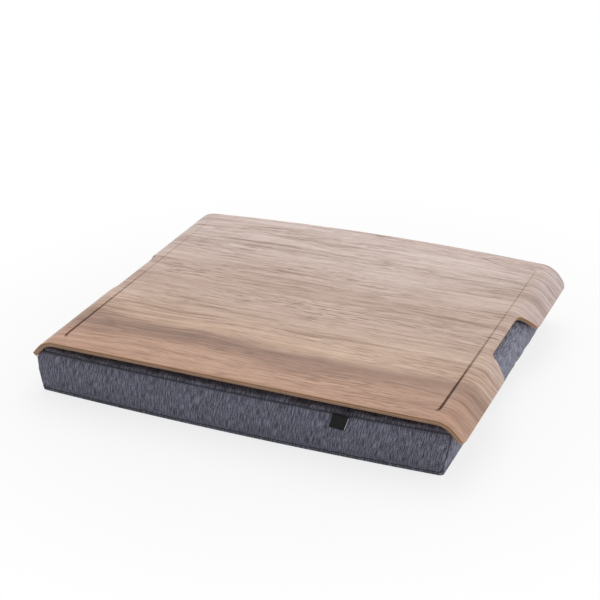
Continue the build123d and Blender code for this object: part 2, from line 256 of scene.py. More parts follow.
def add_floor():
    """Lays a wide plane: white to the camera, with a faint shadow, and grey to bounced light."""
    mesh = bpy.data.meshes.new("floor")
    corners = [(-1, -1, 0), (1, -1, 0), (1, 1, 0), (-1, 1, 0)]
    mesh.from_pydata([Vector(corner) * FLOOR_SIZE / 2 for corner in corners], [], [(0, 1, 2, 3)])
    material, shader, place = new_material("floor white")
    tree = shader.id_data
    seen = seen_directly(tree)
    colour = blend(seen, FLOOR_BOUNCE, FLOOR_SEEN)
    feed(shader, {"Base Color": colour, "Roughness": 1.0, "Specular IOR Level": 0.0})
    glow = output(tree, "Emission", 0, {"Color": WHITE, "Strength": 1.0})
    reach = output(tree, "VectorMath", "Value", {0: place}, operation="LENGTH")
    share = seen * between(reach, *SHADOW_REACH, 1 - SHADOW_SHARE, 1.0, smooth=True)
    feed(tree.nodes["Material Output"], {"Surface": mixed(share, Value(shader.outputs[0]), glow)})
    mesh.materials.append(material)
    link_object("floor", mesh)


def add_sky():
    """Lights the scene from all round, least from the front; the camera sees plain white."""
    world = bpy.data.worlds.new("studio")
    world.use_nodes = True
    bpy.context.scene.world = world
    tree = world.node_tree
    tree.nodes.clear()
    inputs = {0: output(tree, "TexCoord", "Generated"), 1: SKY_SIDE}
    towards = output(tree, "VectorMath", "Value", inputs, operation="DOT_PRODUCT")
    strength = between(towards, -SKY_REACH, SKY_REACH, SKY_FRONT, SKY_BACK)
    lit, white = (output(tree, "Background", 0, {"Color": colour, "Strength": level})
                  for colour, level in ((SKY_COLOUR, strength), (WHITE, 1.0)))
    add_node(tree, "OutputWorld", {"Surface": mixed(seen_directly(tree), lit, white)})


def add_lamp(name, place, size, power):
    """Hangs one soft round area lamp at a place, aimed at the origin."""
    lamp = bpy.data.lights.new(name, "AREA")
    lamp.shape, lamp.size, lamp.energy = "DISK", size, power
    link_object(name, lamp).matrix_world = looking(place, (0, 0, 0))


add_floor()
add_sky()
add_lamp("overhead softbox", (-0.3, 1.0, 2.2), size=2.2, power=19)
add_lamp("right softbox", (2.6, 0.5, 0.6), size=1.6, power=9)
bpy.context.scene.view_settings.view_transform = "Standard"

# %% [markdown]
# ## Meshes from grids
#
# A curved sheet could be sculpted, or cut from a block with booleans. Both leave uneven faces.
# Here each surface is a grid of points worked out by a formula of two parameters, so its lines run
# along the shape, and a second grid of texture places, in metres, lays the weave or the grain
# along it.

# %% Meshes from grids


def grid_quads(rows, columns, first=0):
    """Quads between neighbouring points of a grid that is numbered row by row."""
    i = np.arange(rows - 1)[:, None] * columns
    j = np.arange(columns - 1)[None, :]
    corners = (i + j, i + j + 1, i + columns + j + 1, i + columns + j)
    return np.stack(corners, -1).reshape(-1, 4) + first


def facing(points, quads, centre):
    """The quads, turned over as a whole if on average they look towards the centre."""
    a, b, c, d = (points[quads[:, k]] for k in range(4))
    outward = np.cross(c - a, d - b)
    if (outward * ((a + b + c + d) / 4 - centre)).sum() < 0:
        return quads[:, ::-1]
    return quads


def weld(points, quads):
    """Joins points that share a place: points, quads, which are kept, and the new numbers."""
    keys = np.round(points / (0.001 * MM)).astype(np.int64)
    _, kept, numbers = np.unique(keys, axis=0, return_index=True, return_inverse=True)
    numbers = numbers.reshape(-1)
    return points[kept], numbers[quads], kept, numbers


def settle(name, mesh, body, stands_for=()):
    """Makes a mesh a piece: it rides on a body and stands for CAD nodes."""
    piece = link_object(name, mesh)
    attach(piece, body)
    if stands_for:
        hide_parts(*stands_for)
    return piece


def make_piece(name, shape, body, material, slot, *stands_for, layers=(), marks=(), smooth=True):
    """A piece from (points, quads), with texture places per corner and marks per point."""
    points, quads = shape
    mesh = bpy.data.meshes.new(name)
    mesh.from_pydata(points.tolist(), [], quads.tolist())
    for layer_name, places in dict(layers).items():
        layer = mesh.uv_layers.new(name=layer_name)
        layer.uv.foreach_set("vector", np.ascontiguousarray(places, np.float32).ravel())
    for mark_name, values in dict(marks).items():
        attribute = mesh.attributes.new(mark_name, "FLOAT", "POINT")
        attribute.data.foreach_set("value", np.ascontiguousarray(values, np.float32).ravel())
    mesh.polygons.foreach_set("use_smooth", np.broadcast_to(smooth, len(quads)).astype(bool))
    mesh.materials.append(material)
    mesh.validate()
    print(name, len(points), "points", len(quads), "faces")
    return settle(name, mesh, body, stands_for)


def smooth_share(value, low, high):
    """An S curve from 0 at low to 1 at high."""
    t = np.clip((value - low) / (high - low), 0, 1)
    return t * t * (3 - 2 * t)


def spaced(*stops):
    """Numbers from the first stop to the last, with each later stop given as (end, steps)."""
    run = [np.array([stops[0]])]
    for end, steps in stops[1:]:
        run.append(np.linspace(run[-1][-1], end, steps + 1)[1:])
    return np.concatenate(run)


# %% [markdown]
# ## Walnut veneer
#
# The tray's top is walnut veneer with a satin lacquer: a pale, slightly pink brown, with darker
# growth lines that waver along the grain and short dark pores. A picture of wood would repeat and
# stretch on the bend. Here noise is stretched along the grain, and it reads a texture layer that
# holds the sheet's unrolled length and depth in metres, so that the figure runs over the bend
# unbroken. A row of tints from front to back makes it reddish at the front, with one dark band
# near the front edge, and paler and bluer towards the back: partly the veneer's own bands, partly
# painted shade at the front and a painted reflection towards the back. On the bends at both ends
# the colour is cooled by a painted reflection.

# %% Walnut veneer
GRAIN_LAYER = "grain"
WALNUT_RAMP = ((0.385, (0.27, 0.16, 0.11)), (0.47, (0.535, 0.39, 0.315)),
               (0.575, (0.66, 0.52, 0.445)))
STREAK_COLOUR, ARRIS_COLOUR = (0.27, 0.155, 0.105), (0.76, 0.42, 0.22)
# The second tint is painted shade in the pressed line; the third is a painted reflection on the
# bends.
PORE_TINT, GROOVE_SHADE_TINT, BEND_REFLECTION_TINT = (0.62, 0.52, 0.46), (0.07, 0.02, 0.01), (1.0, 1.05, 1.14)
BEND_START, BEND_END = 201 * MM, 221 * MM
FIGURE_HALF = 183
# Tints from front to back: partly the veneer's own bands, partly painted shade at the front and a
# paler, bluer painted reflection towards the back.
FIGURE_AND_PAINTED_LIGHT = [(-183, (0.92, 0.65, 0.47)), (-150, (0.95, 0.70, 0.53)), (-122, (0.58, 0.41, 0.30)),
          (-98, (1.12, 0.96, 0.78)), (-62, (1.10, 0.99, 0.87)), (-20, (0.97, 0.86, 0.79)),
          (40, (1.06, 0.98, 0.94)), (110, (1.16, 1.15, 1.17)), (183, (1.20, 1.22, 1.28))]


def walnut_grain(place):
    """Walnut over a place whose x runs along the grain: rings, then streaks, then pores."""
    sway = ((noise(place, (5.0, 14.0, 1.0), 2.0) - 0.5) * 0.022
            + (noise(place, (38.0, 60.0, 1.0), 2.0) - 0.5) * 0.0028)
    offset = output(place.tree, "CombineXYZ", 0, {"Y": sway})
    place = output(place.tree, "VectorMath", 0, {0: place, 1: offset}, operation="ADD")
    broad = noise(place, (3.0, 20.0, 1.0), 3.0, 0.55)
    rings = noise(place, (7.0, 170.0, 1.0), 3.0, 0.6)
    fibres = noise(place, (30.0, 600.0, 1.0), 3.0, 0.7)
    colour = ramp(broad * 0.36 + rings * 0.38 + fibres * 0.26, *WALNUT_RAMP)
    ridge = (noise(place, (5.5, 120.0, 1.0), 1.5) - 0.5).math("ABSOLUTE")
    streaks = between(noise(place, (38.0, 540.0, 1.0), 2.0, 0.6), 0.52, 0.60)
    streaks = streaks.math("ADD", between(ridge, 0.045, 0.005) * 0.34, clamp=True)
    gather = between(noise(place, (6.0, 26.0, 1.0), 2.0), 0.38, 0.62, 0.10, 0.85)
    colour = blend(streaks * gather, colour, STREAK_COLOUR)
    pores = between(noise(place, (85.0, 1300.0, 1.0), 1.0), 0.58, 0.70)
    colour = blend(pores * 0.5, colour, PORE_TINT, "MULTIPLY")
    return colour, fibres * 0.4 - pores, place


def walnut_zones(colour, place):
    """Tints the grain by bands from front to back, partly the veneer's own and partly painted
    shade at the front and a paler, bluer painted reflection at the back; a cool painted reflection
    on the bends at both ends.
    """
    drift = (noise(place, (4.0, 6.0, 1.0), 2.0) - 0.5) * 0.03
    back = between(part(place, "Y") + drift, -FIGURE_HALF * MM, FIGURE_HALF * MM)
    stops = [((y + FIGURE_HALF) / (2 * FIGURE_HALF), tint) for y, tint in FIGURE_AND_PAINTED_LIGHT]
    colour = blend(1.0, colour, ramp(back, *stops), "MULTIPLY")
    # Painted reflection: the bends at both ends are cooled towards blue, as the sky mirrored in
    # their gloss.
    bent = between(part(place, "X").math("ABSOLUTE"), BEND_START, BEND_END, smooth=True)
    return blend(bent, colour, BEND_REFLECTION_TINT, "MULTIPLY")


def walnut_material():
    """Lacquered walnut: edges sanded pale by the mark 'arris'; in the pressed line, by the mark
    'groove', less gloss and painted shade.
    """
    material, shader, place = new_material("walnut veneer", GRAIN_LAYER)
    colour, height, swayed = walnut_grain(place)
    colour = walnut_zones(colour, swayed)
    colour = blend(mark(place.tree, "arris") * 0.8, colour, ARRIS_COLOUR)
    groove = mark(place.tree, "groove")
    # Painted shade in the pressed line: full at the front, falling to a quarter at the middle and
    # behind it.
    groove_shade = groove.math("POWER", 0.5) * between(part(place, "Y"), -0.11, 0.0, 1.0, 0.25)
    feed(shader, {
        "Base Color": blend(groove_shade, colour, GROOVE_SHADE_TINT, "MULTIPLY"),
        "Roughness": between(noise(place, (20.0, 220.0, 1.0), 2.0), 0.3, 0.7, 0.42, 0.54),
        "Coat Weight": between(groove, 0.0, 0.5, 0.25, 0.0),
        "Specular IOR Level": between(groove, 0.0, 0.5, 0.5, 0.05),
        "Coat Roughness": 0.4,
        "Normal": bump(height, 0.00006, 0.6)})
    return material


WALNUT = walnut_material()

# %% [markdown]
# ## The bent sheet
#
# The tray is five thin plies glued over a form: flat in the middle, bent down at both ends, with a
# hand notch in each end. Bending a flat mesh with a modifier would squeeze the notch. Here a point
# is given by where it lies on the unrolled sheet and how deep it is in the thickness, and one
# formula rolls it into place.

# %% The bent sheet
TRAY_TOP = 60 * MM
TRAY_DEPTH = 366 * MM
REAR_BOW = 15 * MM
FLAT_HALF = 201.2 * MM
BEND_RADIUS = 25 * MM
BEND_ANGLE = np.radians(48)
LIP_LENGTH = 14 * MM
PLAN_HALF = 229.646 * MM
HALF_LENGTH = FLAT_HALF + BEND_RADIUS * BEND_ANGLE + LIP_LENGTH


def rolled(along, deep, depth):
    """A point of the sheet: straight as far as the flat half, round an arc by the bend, then
    straight down the lip. Depth lowers it along the normal; deep is the distance towards the
    back."""
    reach = np.abs(along)
    turn = np.clip((reach - FLAT_HALF) / BEND_RADIUS, 0, BEND_ANGLE)
    lip = np.clip(reach - FLAT_HALF - BEND_RADIUS * BEND_ANGLE, 0, None)
    radius = BEND_RADIUS - depth
    x = np.minimum(reach, FLAT_HALF) + radius * np.sin(turn) + lip * np.cos(turn)
    z = TRAY_TOP - BEND_RADIUS + radius * np.cos(turn) - lip * np.sin(turn)
    return np.stack([np.sign(along) * x, deep, z], -1)


# %% [markdown]
# ## The sheet's outline
#
# The front edge is straight, the rear edge is bowed, the corners are rounded, and each end has a
# notch with slanted sides. Every ply needs the same outline, and a rounded edge needs it again a
# little smaller. So the grid takes an inset: its rows end on the outline, moved inwards by that
# much.

# %% The sheet's outline
FRONT_RADIUS, REAR_RADIUS = 6 * MM, 11 * MM
NOTCH_ALONG = 210.6 * MM
NOTCH_INNER, NOTCH_MOUTH = 44 * MM, 59 * MM
NOTCH_RADIUS = 9 * MM
FRONT_Y, REAR_Y = -TRAY_DEPTH / 2, TRAY_DEPTH / 2
ROUND_STEPS = 7
BOW_REACH = (70 * MM, 150 * MM)


def rounded_distance(across, lengthways):
    """How far a place lies past a corner, from how far past each side; negative inside."""
    outside = np.hypot(np.maximum(across, 0), np.maximum(lengthways, 0))
    return outside + np.minimum(np.maximum(across, lengthways), 0)


def rounded_bend(before, corner, after, radius, steps=12):
    """Points of the arc that rounds the corner between two straight runs."""
    first, second = before - corner, after - corner
    first, second = first / np.linalg.norm(first), second / np.linalg.norm(second)
    half = np.arccos(np.clip(first @ second, -1, 1)) / 2
    middle = (first + second) / np.linalg.norm(first + second)
    centre = corner + middle * radius / np.sin(half)
    start = corner + first * radius / np.tan(half) - centre
    end = corner + second * radius / np.tan(half) - centre
    angle = np.linspace(0, 1, steps)[:, None] * (np.pi - 2 * half)
    side = end - start * np.cos(np.pi - 2 * half)
    side = side / np.linalg.norm(side) * radius
    return centre + start * np.cos(angle) + side * np.sin(angle)


def notch_edge(inset):
    """The notch's side as points (deep, along), moved into the wood by the inset."""
    run = np.array([NOTCH_MOUTH - NOTCH_INNER, HALF_LENGTH - NOTCH_ALONG])
    run = run / np.linalg.norm(run)
    inner_along, mouth_along = NOTCH_ALONG - inset, HALF_LENGTH - inset
    foot = np.array([NOTCH_INNER, NOTCH_ALONG]) + inset * np.array([run[1], -run[0]])
    inner = foot + run * (inner_along - foot[1]) / run[1]
    mouth = foot + run * (mouth_along - foot[1]) / run[1]
    lead = np.array([0.0, inner_along])
    tail = np.array([mouth[0] + 1.0, mouth_along])
    inner_arc = rounded_bend(lead, inner, mouth, NOTCH_RADIUS + inset)
    mouth_arc = rounded_bend(inner, mouth, tail, NOTCH_RADIUS - inset)
    return np.vstack([[lead], inner_arc, mouth_arc, [tail]])


CORNER_TURN = np.linspace(0, np.pi / 2, ROUND_STEPS)
NOTCH_ROWS = spaced(-68, (-61, 3), (-55, 8), (-47, 3), (-38, 12), (38, 13), (47, 12), (55, 3),
                    (61, 8), (68, 3))
LINE_ROWS = spaced(-176.9, (-171, 3), (-158, 22), (-68, 19))[:-1]
REAR_ROWS = spaced(68, (154, 19), (169, 26))[1:]
MIDDLE_ROWS = np.concatenate([LINE_ROWS, NOTCH_ROWS, REAR_ROWS[:-1]]) * MM
OUTER_SHARES = np.append(np.linspace(0, 0.86, 14)[1:], 1.0)
LINE_COLUMNS = spaced(0, (187, 31), (195, 10), (201.2, 18), (205.5, 4)) * MM
PLAIN_COLUMNS = spaced(0, (201.2, 4), (205.5, 2)) * MM


def sheet_grid(inset, columns):
    """Places (along, deep) of the unrolled sheet: rows front to back, columns left to right."""
    front_round, rear_round = FRONT_RADIUS - inset, REAR_RADIUS - inset
    front = FRONT_Y + inset + front_round * (1 - np.cos(CORNER_TURN))
    rear = (REAR_Y - inset - rear_round * (1 - np.cos(CORNER_TURN)))[::-1]
    deep = np.concatenate([front, MIDDLE_ROWS, rear])
    notch = notch_edge(inset)
    edge = np.interp(np.abs(deep), notch[:, 0], notch[:, 1])
    edge[: len(front)] = HALF_LENGTH - inset - front_round * (1 - np.sin(CORNER_TURN))
    edge[-len(rear):] = (HALF_LENGTH - inset - rear_round * (1 - np.sin(CORNER_TURN)))[::-1]
    outer = columns[-1] + OUTER_SHARES[None, :] * (edge[:, None] - columns[-1])
    inner = np.broadcast_to(columns, (len(deep), len(columns)))
    half = np.concatenate([inner, outer], 1)
    along = np.concatenate([-half[:, :0:-1], half], 1)
    return along, np.broadcast_to(deep[:, None], along.shape)


def bowed(along, deep):
    """Shifts the rear part of the sheet forwards towards its ends, by the bow of the rear edge."""
    share = (rolled(along, deep, 0)[..., 0] / PLAN_HALF) ** 2
    return deep - REAR_BOW * share * smooth_share(deep, *BOW_REACH)


# %% [markdown]
# ## The pressed line
#
# A shallow line is pressed into the veneer round the middle of the tray. Its wall towards the
# middle is steep, its other side slopes out softly. It is widest and deepest at the front ends,
# fades towards the back, turns in at the rear corners, and is a faint scratch along the rear. The
# line follows a rounded rectangle, so the distance to that rectangle is all that the depth needs.

# %% The pressed line
LINE_HALF, LINE_FRONT, LINE_REAR, LINE_RADIUS = 198.7 * MM, -169 * MM, 167 * MM, 9 * MM
LINE_HOOK = 4 * MM
SIDE_WIDTH, SIDE_DEPTH = (3.9 * MM, 1.9 * MM), (0.88 * MM, 0.4 * MM)
REAR_WIDTH, REAR_DEPTH = 1.3 * MM, 0.22 * MM
LINE_FADE, LINE_TURN = 0.8, 5 * MM
WALL_SHARE, SLOPE_SHARE = 0.22, 0.3


def pressed_depth(along, deep):
    """Depth of the pressed line: steep on its inner side, soft on its outer side."""
    middle, half_deep = (LINE_FRONT + LINE_REAR) / 2, (LINE_REAR - LINE_FRONT) / 2
    across = np.abs(along) - (LINE_HALF - LINE_RADIUS)
    lengthways = np.abs(deep - middle) - (half_deep - LINE_RADIUS)
    distance = rounded_distance(across, lengthways) - LINE_RADIUS
    back = np.clip((deep - LINE_FRONT) / (LINE_REAR - LINE_FRONT), 0, 1) ** LINE_FADE
    hook = LINE_HALF - LINE_HOOK
    side = smooth_share(np.abs(along), hook, hook + LINE_TURN)
    wide, low = (front + (rear - front) * back for front, rear in (SIDE_WIDTH, SIDE_DEPTH))
    width = np.where(side > 0, wide, REAR_WIDTH)
    depth = np.maximum(side * low, REAR_DEPTH * (deep > 0) * (distance < 1))
    t = distance / width + 0.5
    return depth * smooth_share(t, 0.0, WALL_SHARE) * (1 - smooth_share(t, SLOPE_SHARE, 1.0))


# %% [markdown]
# ## Plies
#
# Each ply is a closed shell: an upper grid, a lower grid, and rings between them that follow the
# outline. The face veneer gets a rounded upper edge, where sanding shows a lighter line, and the
# backing veneer a rounded lower edge. A bevel modifier would also round the edges between the
# plies, which are sharp on the real thing.

# %% Plies
PLY_DEPTHS = np.array([0, 0.9, 1.8, 3.4, 4.3, 5.0]) * MM
EDGE_ROUND = 0.55 * MM


def border(grid):
    """The points round a grid's border, once round."""
    return np.concatenate([grid[0, :-1], grid[:-1, -1], grid[-1, :0:-1], grid[:0:-1, 0]])


def flattened(grid):
    """All the points of a grid, row by row."""
    return grid.reshape(-1, grid.shape[-1])


def edge_rings(top, bottom, round_top, round_bottom):
    """Insets and depths of the rings down the edge, with a quarter circle at a rounded end."""
    turn = np.linspace(0, np.pi / 2, 5)
    inset, sunk = EDGE_ROUND * (1 - np.sin(turn)), EDGE_ROUND * (1 - np.cos(turn))
    upper = list(zip(inset, top + sunk)) if round_top else [(0.0, top)]
    lower = list(zip(sunk, bottom - inset)) if round_bottom else [(0.0, bottom)]
    return upper + lower


def ply(name, number, columns, material, slot, node_name, pressed=False):
    """Makes one ply as a closed shell whose grain layer holds each point's unrolled place."""
    round_top, round_bottom = number == 0, number == len(PLY_DEPTHS) - 2
    rings = edge_rings(PLY_DEPTHS[number], PLY_DEPTHS[number + 1], round_top, round_bottom)
    points, places, arris, groove = [], [], [], []
    for ring, (inset, depth) in enumerate(rings):
        along, deep = sheet_grid(inset, columns)
        line = pressed_depth(along, deep) if pressed and ring == 0 else 0 * along
        grid = rolled(along, bowed(along, deep), depth + line)
        shown = flattened if ring in (0, len(rings) - 1) else border
        points.append(shown(grid))
        places.append(shown(np.stack([along, deep], -1)))
        groove.append(shown(line[..., None] / SIDE_DEPTH[0])[:, 0])
        arris.append(np.full(len(points[-1]), float(round_top and 0 < ring)))
    size = along.shape
    numbers = np.arange(along.size).reshape(size)
    starts = np.cumsum([0] + [len(run) for run in points])
    loops = [border(numbers) if i in (0, len(rings) - 1) else np.arange(len(run))
             for i, run in enumerate(points)]
    loops = [loop + start for loop, start in zip(loops, starts)]
    quads = [grid_quads(*size), grid_quads(*size, first=starts[-2])[:, ::-1]]
    for upper, lower in zip(loops, loops[1:]):
        quads.append(np.stack([upper, lower, np.roll(lower, -1), np.roll(upper, -1)], -1))
    quads = np.vstack(quads)
    return make_piece(
        name, (np.vstack(points), quads), "tray", material, slot, node_name,
        layers={GRAIN_LAYER: np.vstack(places)[quads.reshape(-1)]},
        marks={"arris": np.concatenate(arris), "groove": np.concatenate(groove)},
        smooth=round_top or round_bottom)


def fibrous_material(name, pale, dark, fine, coarse, stops, relief, inputs):
    """Fine fibres over broad patches, from dark to pale; the fibres also lift the surface."""
    material, shader, place = new_material(name)
    fibres = noise(place, *fine)
    tone = fibres * 0.7 + noise(place, *coarse) * 0.3
    colour = ramp(tone, (stops[0], dark), (stops[1], pale))
    feed(shader, {"Base Color": colour, "Normal": bump(fibres, *relief), **inputs})
    return material


def edge_material(name, pale, dark, along_grain):
    """A ply's cut edge: with the grain along X, long fibres in front and pores at the ends."""
    stretch = (40.0, 1500.0, 4000.0) if along_grain else (1500.0, 40.0, 4000.0)
    return fibrous_material(name, pale, dark, (stretch, 3.0, 0.6), ((60.0, 60.0, 60.0), 2.0),
                            (0.38, 0.6), (0.00008, 0.5), {"Roughness": 0.6})


CROSS = edge_material("cross ply edge", (0.40, 0.19, 0.085), (0.24, 0.10, 0.045), False)
CORE = edge_material("core ply edge", (0.60, 0.37, 0.23), (0.44, 0.25, 0.145), True)
# The lower cross ply's edge is darker than the core's, partly as painted shade on the lower half
# of the sheet's edge.
LOWER = edge_material("lower cross ply edge", (0.44, 0.25, 0.15), (0.28, 0.15, 0.08), False)
ply("walnut_face", 0, LINE_COLUMNS, WALNUT, "walnut_veneer", "face_veneer", pressed=True)
ply("upper_cross_layer", 1, PLAIN_COLUMNS, CROSS, "cross_ply", "upper_cross_ply")
ply("core_layer", 2, PLAIN_COLUMNS, CORE, "core_wood", "core_ply")
ply("lower_cross_layer", 3, PLAIN_COLUMNS, LOWER, "cross_ply", "lower_cross_ply")
ply("walnut_backing", 4, PLAIN_COLUMNS, WALNUT, "walnut_veneer", "backing_veneer")

# %% [markdown]
# ## Heather fabric
#
# The cover is a grey heather weave: yarns of several greys, with thicker slubs that show as short
# upright streaks. A printed pattern would look flat from the side. Here noise is drawn out along
# the yarns, a fine weave is added to the bump, and a little sheen gives the soft light edge that
# fuzzy cloth has when it is seen at a slant. The cloth darkens in the seams. In a marked band
# under the tray's front edge, shade is painted into the colour: it darkens by as much as an
# Ambient
# Occlusion node finds the cloth shut in.

# %% Heather fabric
WEAVE_LAYER = "weave"
YARN_PITCH = 0.8 * MM
# How far the Ambient Occlusion node looks for the board when it paints shade under the front edge.
PAINTED_SHADE_REACH = 25 * MM
HEATHER_TINT, HEATHER_CONTRAST = (0.236, 0.229, 0.284), 0.85
SEAM_TINT, PAINTED_SHADE_TINT = grey(0.3), grey(0.04)


def weave_height(place, pitch):
    """The height of a plain weave: two sine waves across each other, one for each yarn."""
    return waves(place, "X", pitch) * waves(place, "Y", pitch)


def heather_material():
    """Heather cloth: slubs along Y, finer yarns both ways, broad mottling, dark seams, and painted
    shade in the marked band under the tray's front edge.
    """
    material, shader, place = new_material("heather cover", WEAVE_LAYER)
    slubs = noise(place, (1000.0, 110.0, 1.0), 2.0, 0.6)
    yarns = noise(place, (1300.0, 800.0, 1.0), 2.0)
    weft = noise(place, (420.0, 1300.0, 1.0), 2.0)
    mottle = noise(place, (60.0, 36.0, 1.0), 3.0)
    tone = slubs * 0.60 + yarns * 0.25 + weft * 0.12 + mottle * 0.03
    stops = ((-0.10 / HEATHER_CONTRAST, 0.35), (0.0, 0.95), (0.09 / HEATHER_CONTRAST, 2.1))
    shades = [(0.5 + at, tuple(level * share for level in HEATHER_TINT)) for at, share in stops]
    colour = ramp(tone, *shades)
    sewn = mark(place.tree, "seam").math("POWER", 3.0) * 0.7
    colour = blend(sewn, colour, SEAM_TINT, "MULTIPLY")
    # Painted shade: the marked band is darkened towards near black by as much as the Ambient
    # Occlusion node finds it shut in.
    shut = 1.0 - output(place.tree, "AmbientOcclusion", "AO", {"Distance": PAINTED_SHADE_REACH})
    painted_shade = mark(place.tree, "painted_shade").math("MULTIPLY", shut, clamp=True)
    feed(shader, {
        "Base Color": blend(painted_shade, colour, PAINTED_SHADE_TINT, "MULTIPLY"),
        "Roughness": 0.9, "Specular IOR Level": 0.2, "Sheen Weight": 0.25, "Sheen Roughness": 0.45,
        "Normal": bump(weave_height(place, YARN_PITCH) + slubs * 3.0, 0.00012, 0.7)})
    return material


HEATHER = heather_material()

# %% [markdown]
# ## The cushion's form
#
# The cushion is a box cushion: a top panel that is crowned at its rim and flat where the tray
# rests on it, four walls that bulge between two seams, and a base that turns under. It leans to
# the left and forwards, and its front left corner bulges out under the tray's lip, as in the
# photo. It could be a cube with a subdivision modifier, but then the seams would wander. Here each
# of its six faces is a grid, and neighbours share the points of the seam between them.

# %% The cushion's form
CUSHION_TOP, UPPER_SEAM, LOWER_SEAM = 52.8 * MM, 43.8 * MM, 4.0 * MM
CUSHION_HALF, CUSHION_FRONT, CUSHION_REAR = 216.889 * MM, -177 * MM, 162 * MM
CORNER_RADIUS = 5 * MM
FRONT_BOW, SIDE_BOW = 5.3 * MM, 0.5 * MM
SIDE_BELLY, FRONT_BELLY, BELLY_LIFT = 5.0 * MM, 0.6 * MM, 0.75
TOP_SHIFT, BASE_SHIFT, BASE_FLARE = -1.5 * MM, -7.4 * MM, -0.7 * MM
CROWN_RUN, UNDER_RUN, UNDER_POWER = 30 * MM, 2.4 * MM, 3
FRONT_FLARE, CORNER_BELLY, BELLY_RUN, LIP_FILL = 3.0 * MM, 0.8 * MM, 22 * MM, 0.9 * MM
LEFT_BULGE, LEFT_LIFT, BULGE_RUN = 7.0 * MM, 0.42, 60 * MM
HALF_ARC = CORNER_RADIUS * np.pi / 4
WIDE = 2 * (CUSHION_HALF - CORNER_RADIUS) + 2 * HALF_ARC
LONG = CUSHION_REAR - CUSHION_FRONT - 2 * CORNER_RADIUS + 2 * HALF_ARC
BULGE_REACH = 30 * MM
SIDES = {"front": (1, 0), "right": (0, 1), "rear": (1, 0), "left": (0, 1)}
OUTWARDS = {"front": (0, -1), "right": (1, 0), "rear": (0, 1), "left": (-1, 0)}
LENGTHS = {"front": WIDE, "right": LONG, "rear": WIDE, "left": LONG}
FLANKS = ("left", "right")


def corner_turns(side, run):
    """How far a wall has turned at a place of its run, round its first and second corner."""
    start = np.clip((HALF_ARC - run) / CORNER_RADIUS, 0, np.pi / 4)
    return start, np.clip((run - LENGTHS[side] + HALF_ARC) / CORNER_RADIUS, 0, np.pi / 4)


def wall_point(side, run, height):
    """A point of one wall. Run goes along it from corner seam to corner seam: half an arc, a
    slightly bowed straight, half an arc. The cushion leans to the left, and its walls bulge by a
    sine between the seams."""
    f = np.clip((UPPER_SEAM - height) / (UPPER_SEAM - LOWER_SEAM), 0, 1)
    belly = np.sin(np.pi * f**BELLY_LIFT)
    half_x = CUSHION_HALF + BASE_FLARE * f + LIP_FILL * (1 - f) ** 2 + CORNER_BELLY * belly
    front = CUSHION_FRONT - FRONT_FLARE * f - FRONT_BELLY * belly
    rear = CUSHION_REAR + FRONT_BELLY * belly
    half_y = (rear - front) / 2
    length = LENGTHS[side]
    half_along, half_out = (half_y, half_x) if side in FLANKS else (half_x, half_y)
    start, end = corner_turns(side, run)
    share = np.clip((run - HALF_ARC) / (length - 2 * HALF_ARC), 0, 1)
    reach = half_along - CORNER_RADIUS
    along = (2 * share - 1) * reach + CORNER_RADIUS * (np.sin(end) - np.sin(start))
    out = half_out - CORNER_RADIUS * (1 - np.cos(start + end))
    if side in FLANKS:
        from_corner = np.minimum(run, length - run) - HALF_ARC
        out = out + (SIDE_BELLY - CORNER_BELLY) * belly * smooth_share(from_corner, 0, BELLY_RUN)
    bow = {"front": FRONT_BOW, "rear": 0.0}.get(side, SIDE_BOW)
    out = out + bow * (1 - (along / (reach + CORNER_RADIUS * np.sin(np.pi / 4))) ** 2)
    (tx, ty), (ox, oy) = SIDES[side], OUTWARDS[side]
    x = TOP_SHIFT + (BASE_SHIFT - TOP_SHIFT) * f + along * tx + out * ox
    y = (front + rear) / 2 + along * ty + out * oy
    pushed = smooth_share(-x, CUSHION_HALF - BULGE_REACH, CUSHION_HALF - CORNER_RADIUS)
    pushed = pushed * (1 - smooth_share(y, CUSHION_FRONT, CUSHION_FRONT + BULGE_RUN))
    x = x - LEFT_BULGE * np.sin(np.pi * f**LEFT_LIFT) * pushed
    return np.stack([x, y, height + 0 * x], -1)


def cap_place(across, back, height):
    """Plan places of the top or the base: each grid line runs between two opposite walls, and the
    four border lines are the walls' own (a Coons patch)."""
    u, v = (across / WIDE)[None, :, None], (back / LONG)[:, None, None]
    front, rear = (wall_point(side, across, height)[None] for side in ("front", "rear"))
    left, right = (wall_point(side, back, height)[:, None] for side in FLANKS)
    near, far = ((1 - u) * edge[:, :1] + u * edge[:, -1:] for edge in (front, rear))
    corners = (1 - v) * near + v * far
    return (1 - v) * front + v * rear + (1 - u) * left + u * right - corners


def rim_distance(place, height):
    """How far a plan place lies inside the cushion's rounded outline."""
    front = wall_point("front", np.linspace(0, WIDE, 200), height)
    left, right, rear = (wall_point(side, np.array([LENGTHS[side] / 2]), height)[0]
                         for side in ("left", "right", "rear"))
    front_y = np.interp(place[..., 0], front[:, 0], front[:, 1])
    front_y = np.minimum(front_y, front[:, 1].min() + FRONT_BOW)
    middle, half_x = (left[0] + right[0]) / 2, (right[0] - left[0]) / 2
    across = np.abs(place[..., 0] - middle) - (half_x - CORNER_RADIUS)
    deep = np.maximum(front_y - place[..., 1], place[..., 1] - rear[1]) + CORNER_RADIUS
    inside = -(rounded_distance(across, deep) - CORNER_RADIUS)
    inside[0], inside[-1], inside[:, 0], inside[:, -1] = 0, 0, 0, 0
    return np.maximum(inside, 0)


def top_points(across, back):
    """The top panel: its rim climbs as a quarter ellipse and then runs flat."""
    place = cap_place(across, back, UPPER_SEAM)
    inside = np.minimum(rim_distance(place, UPPER_SEAM) / CROWN_RUN, 1)
    place[..., 2] = UPPER_SEAM + (CUSHION_TOP - UPPER_SEAM) * np.sqrt(1 - (1 - inside) ** 2)
    return place


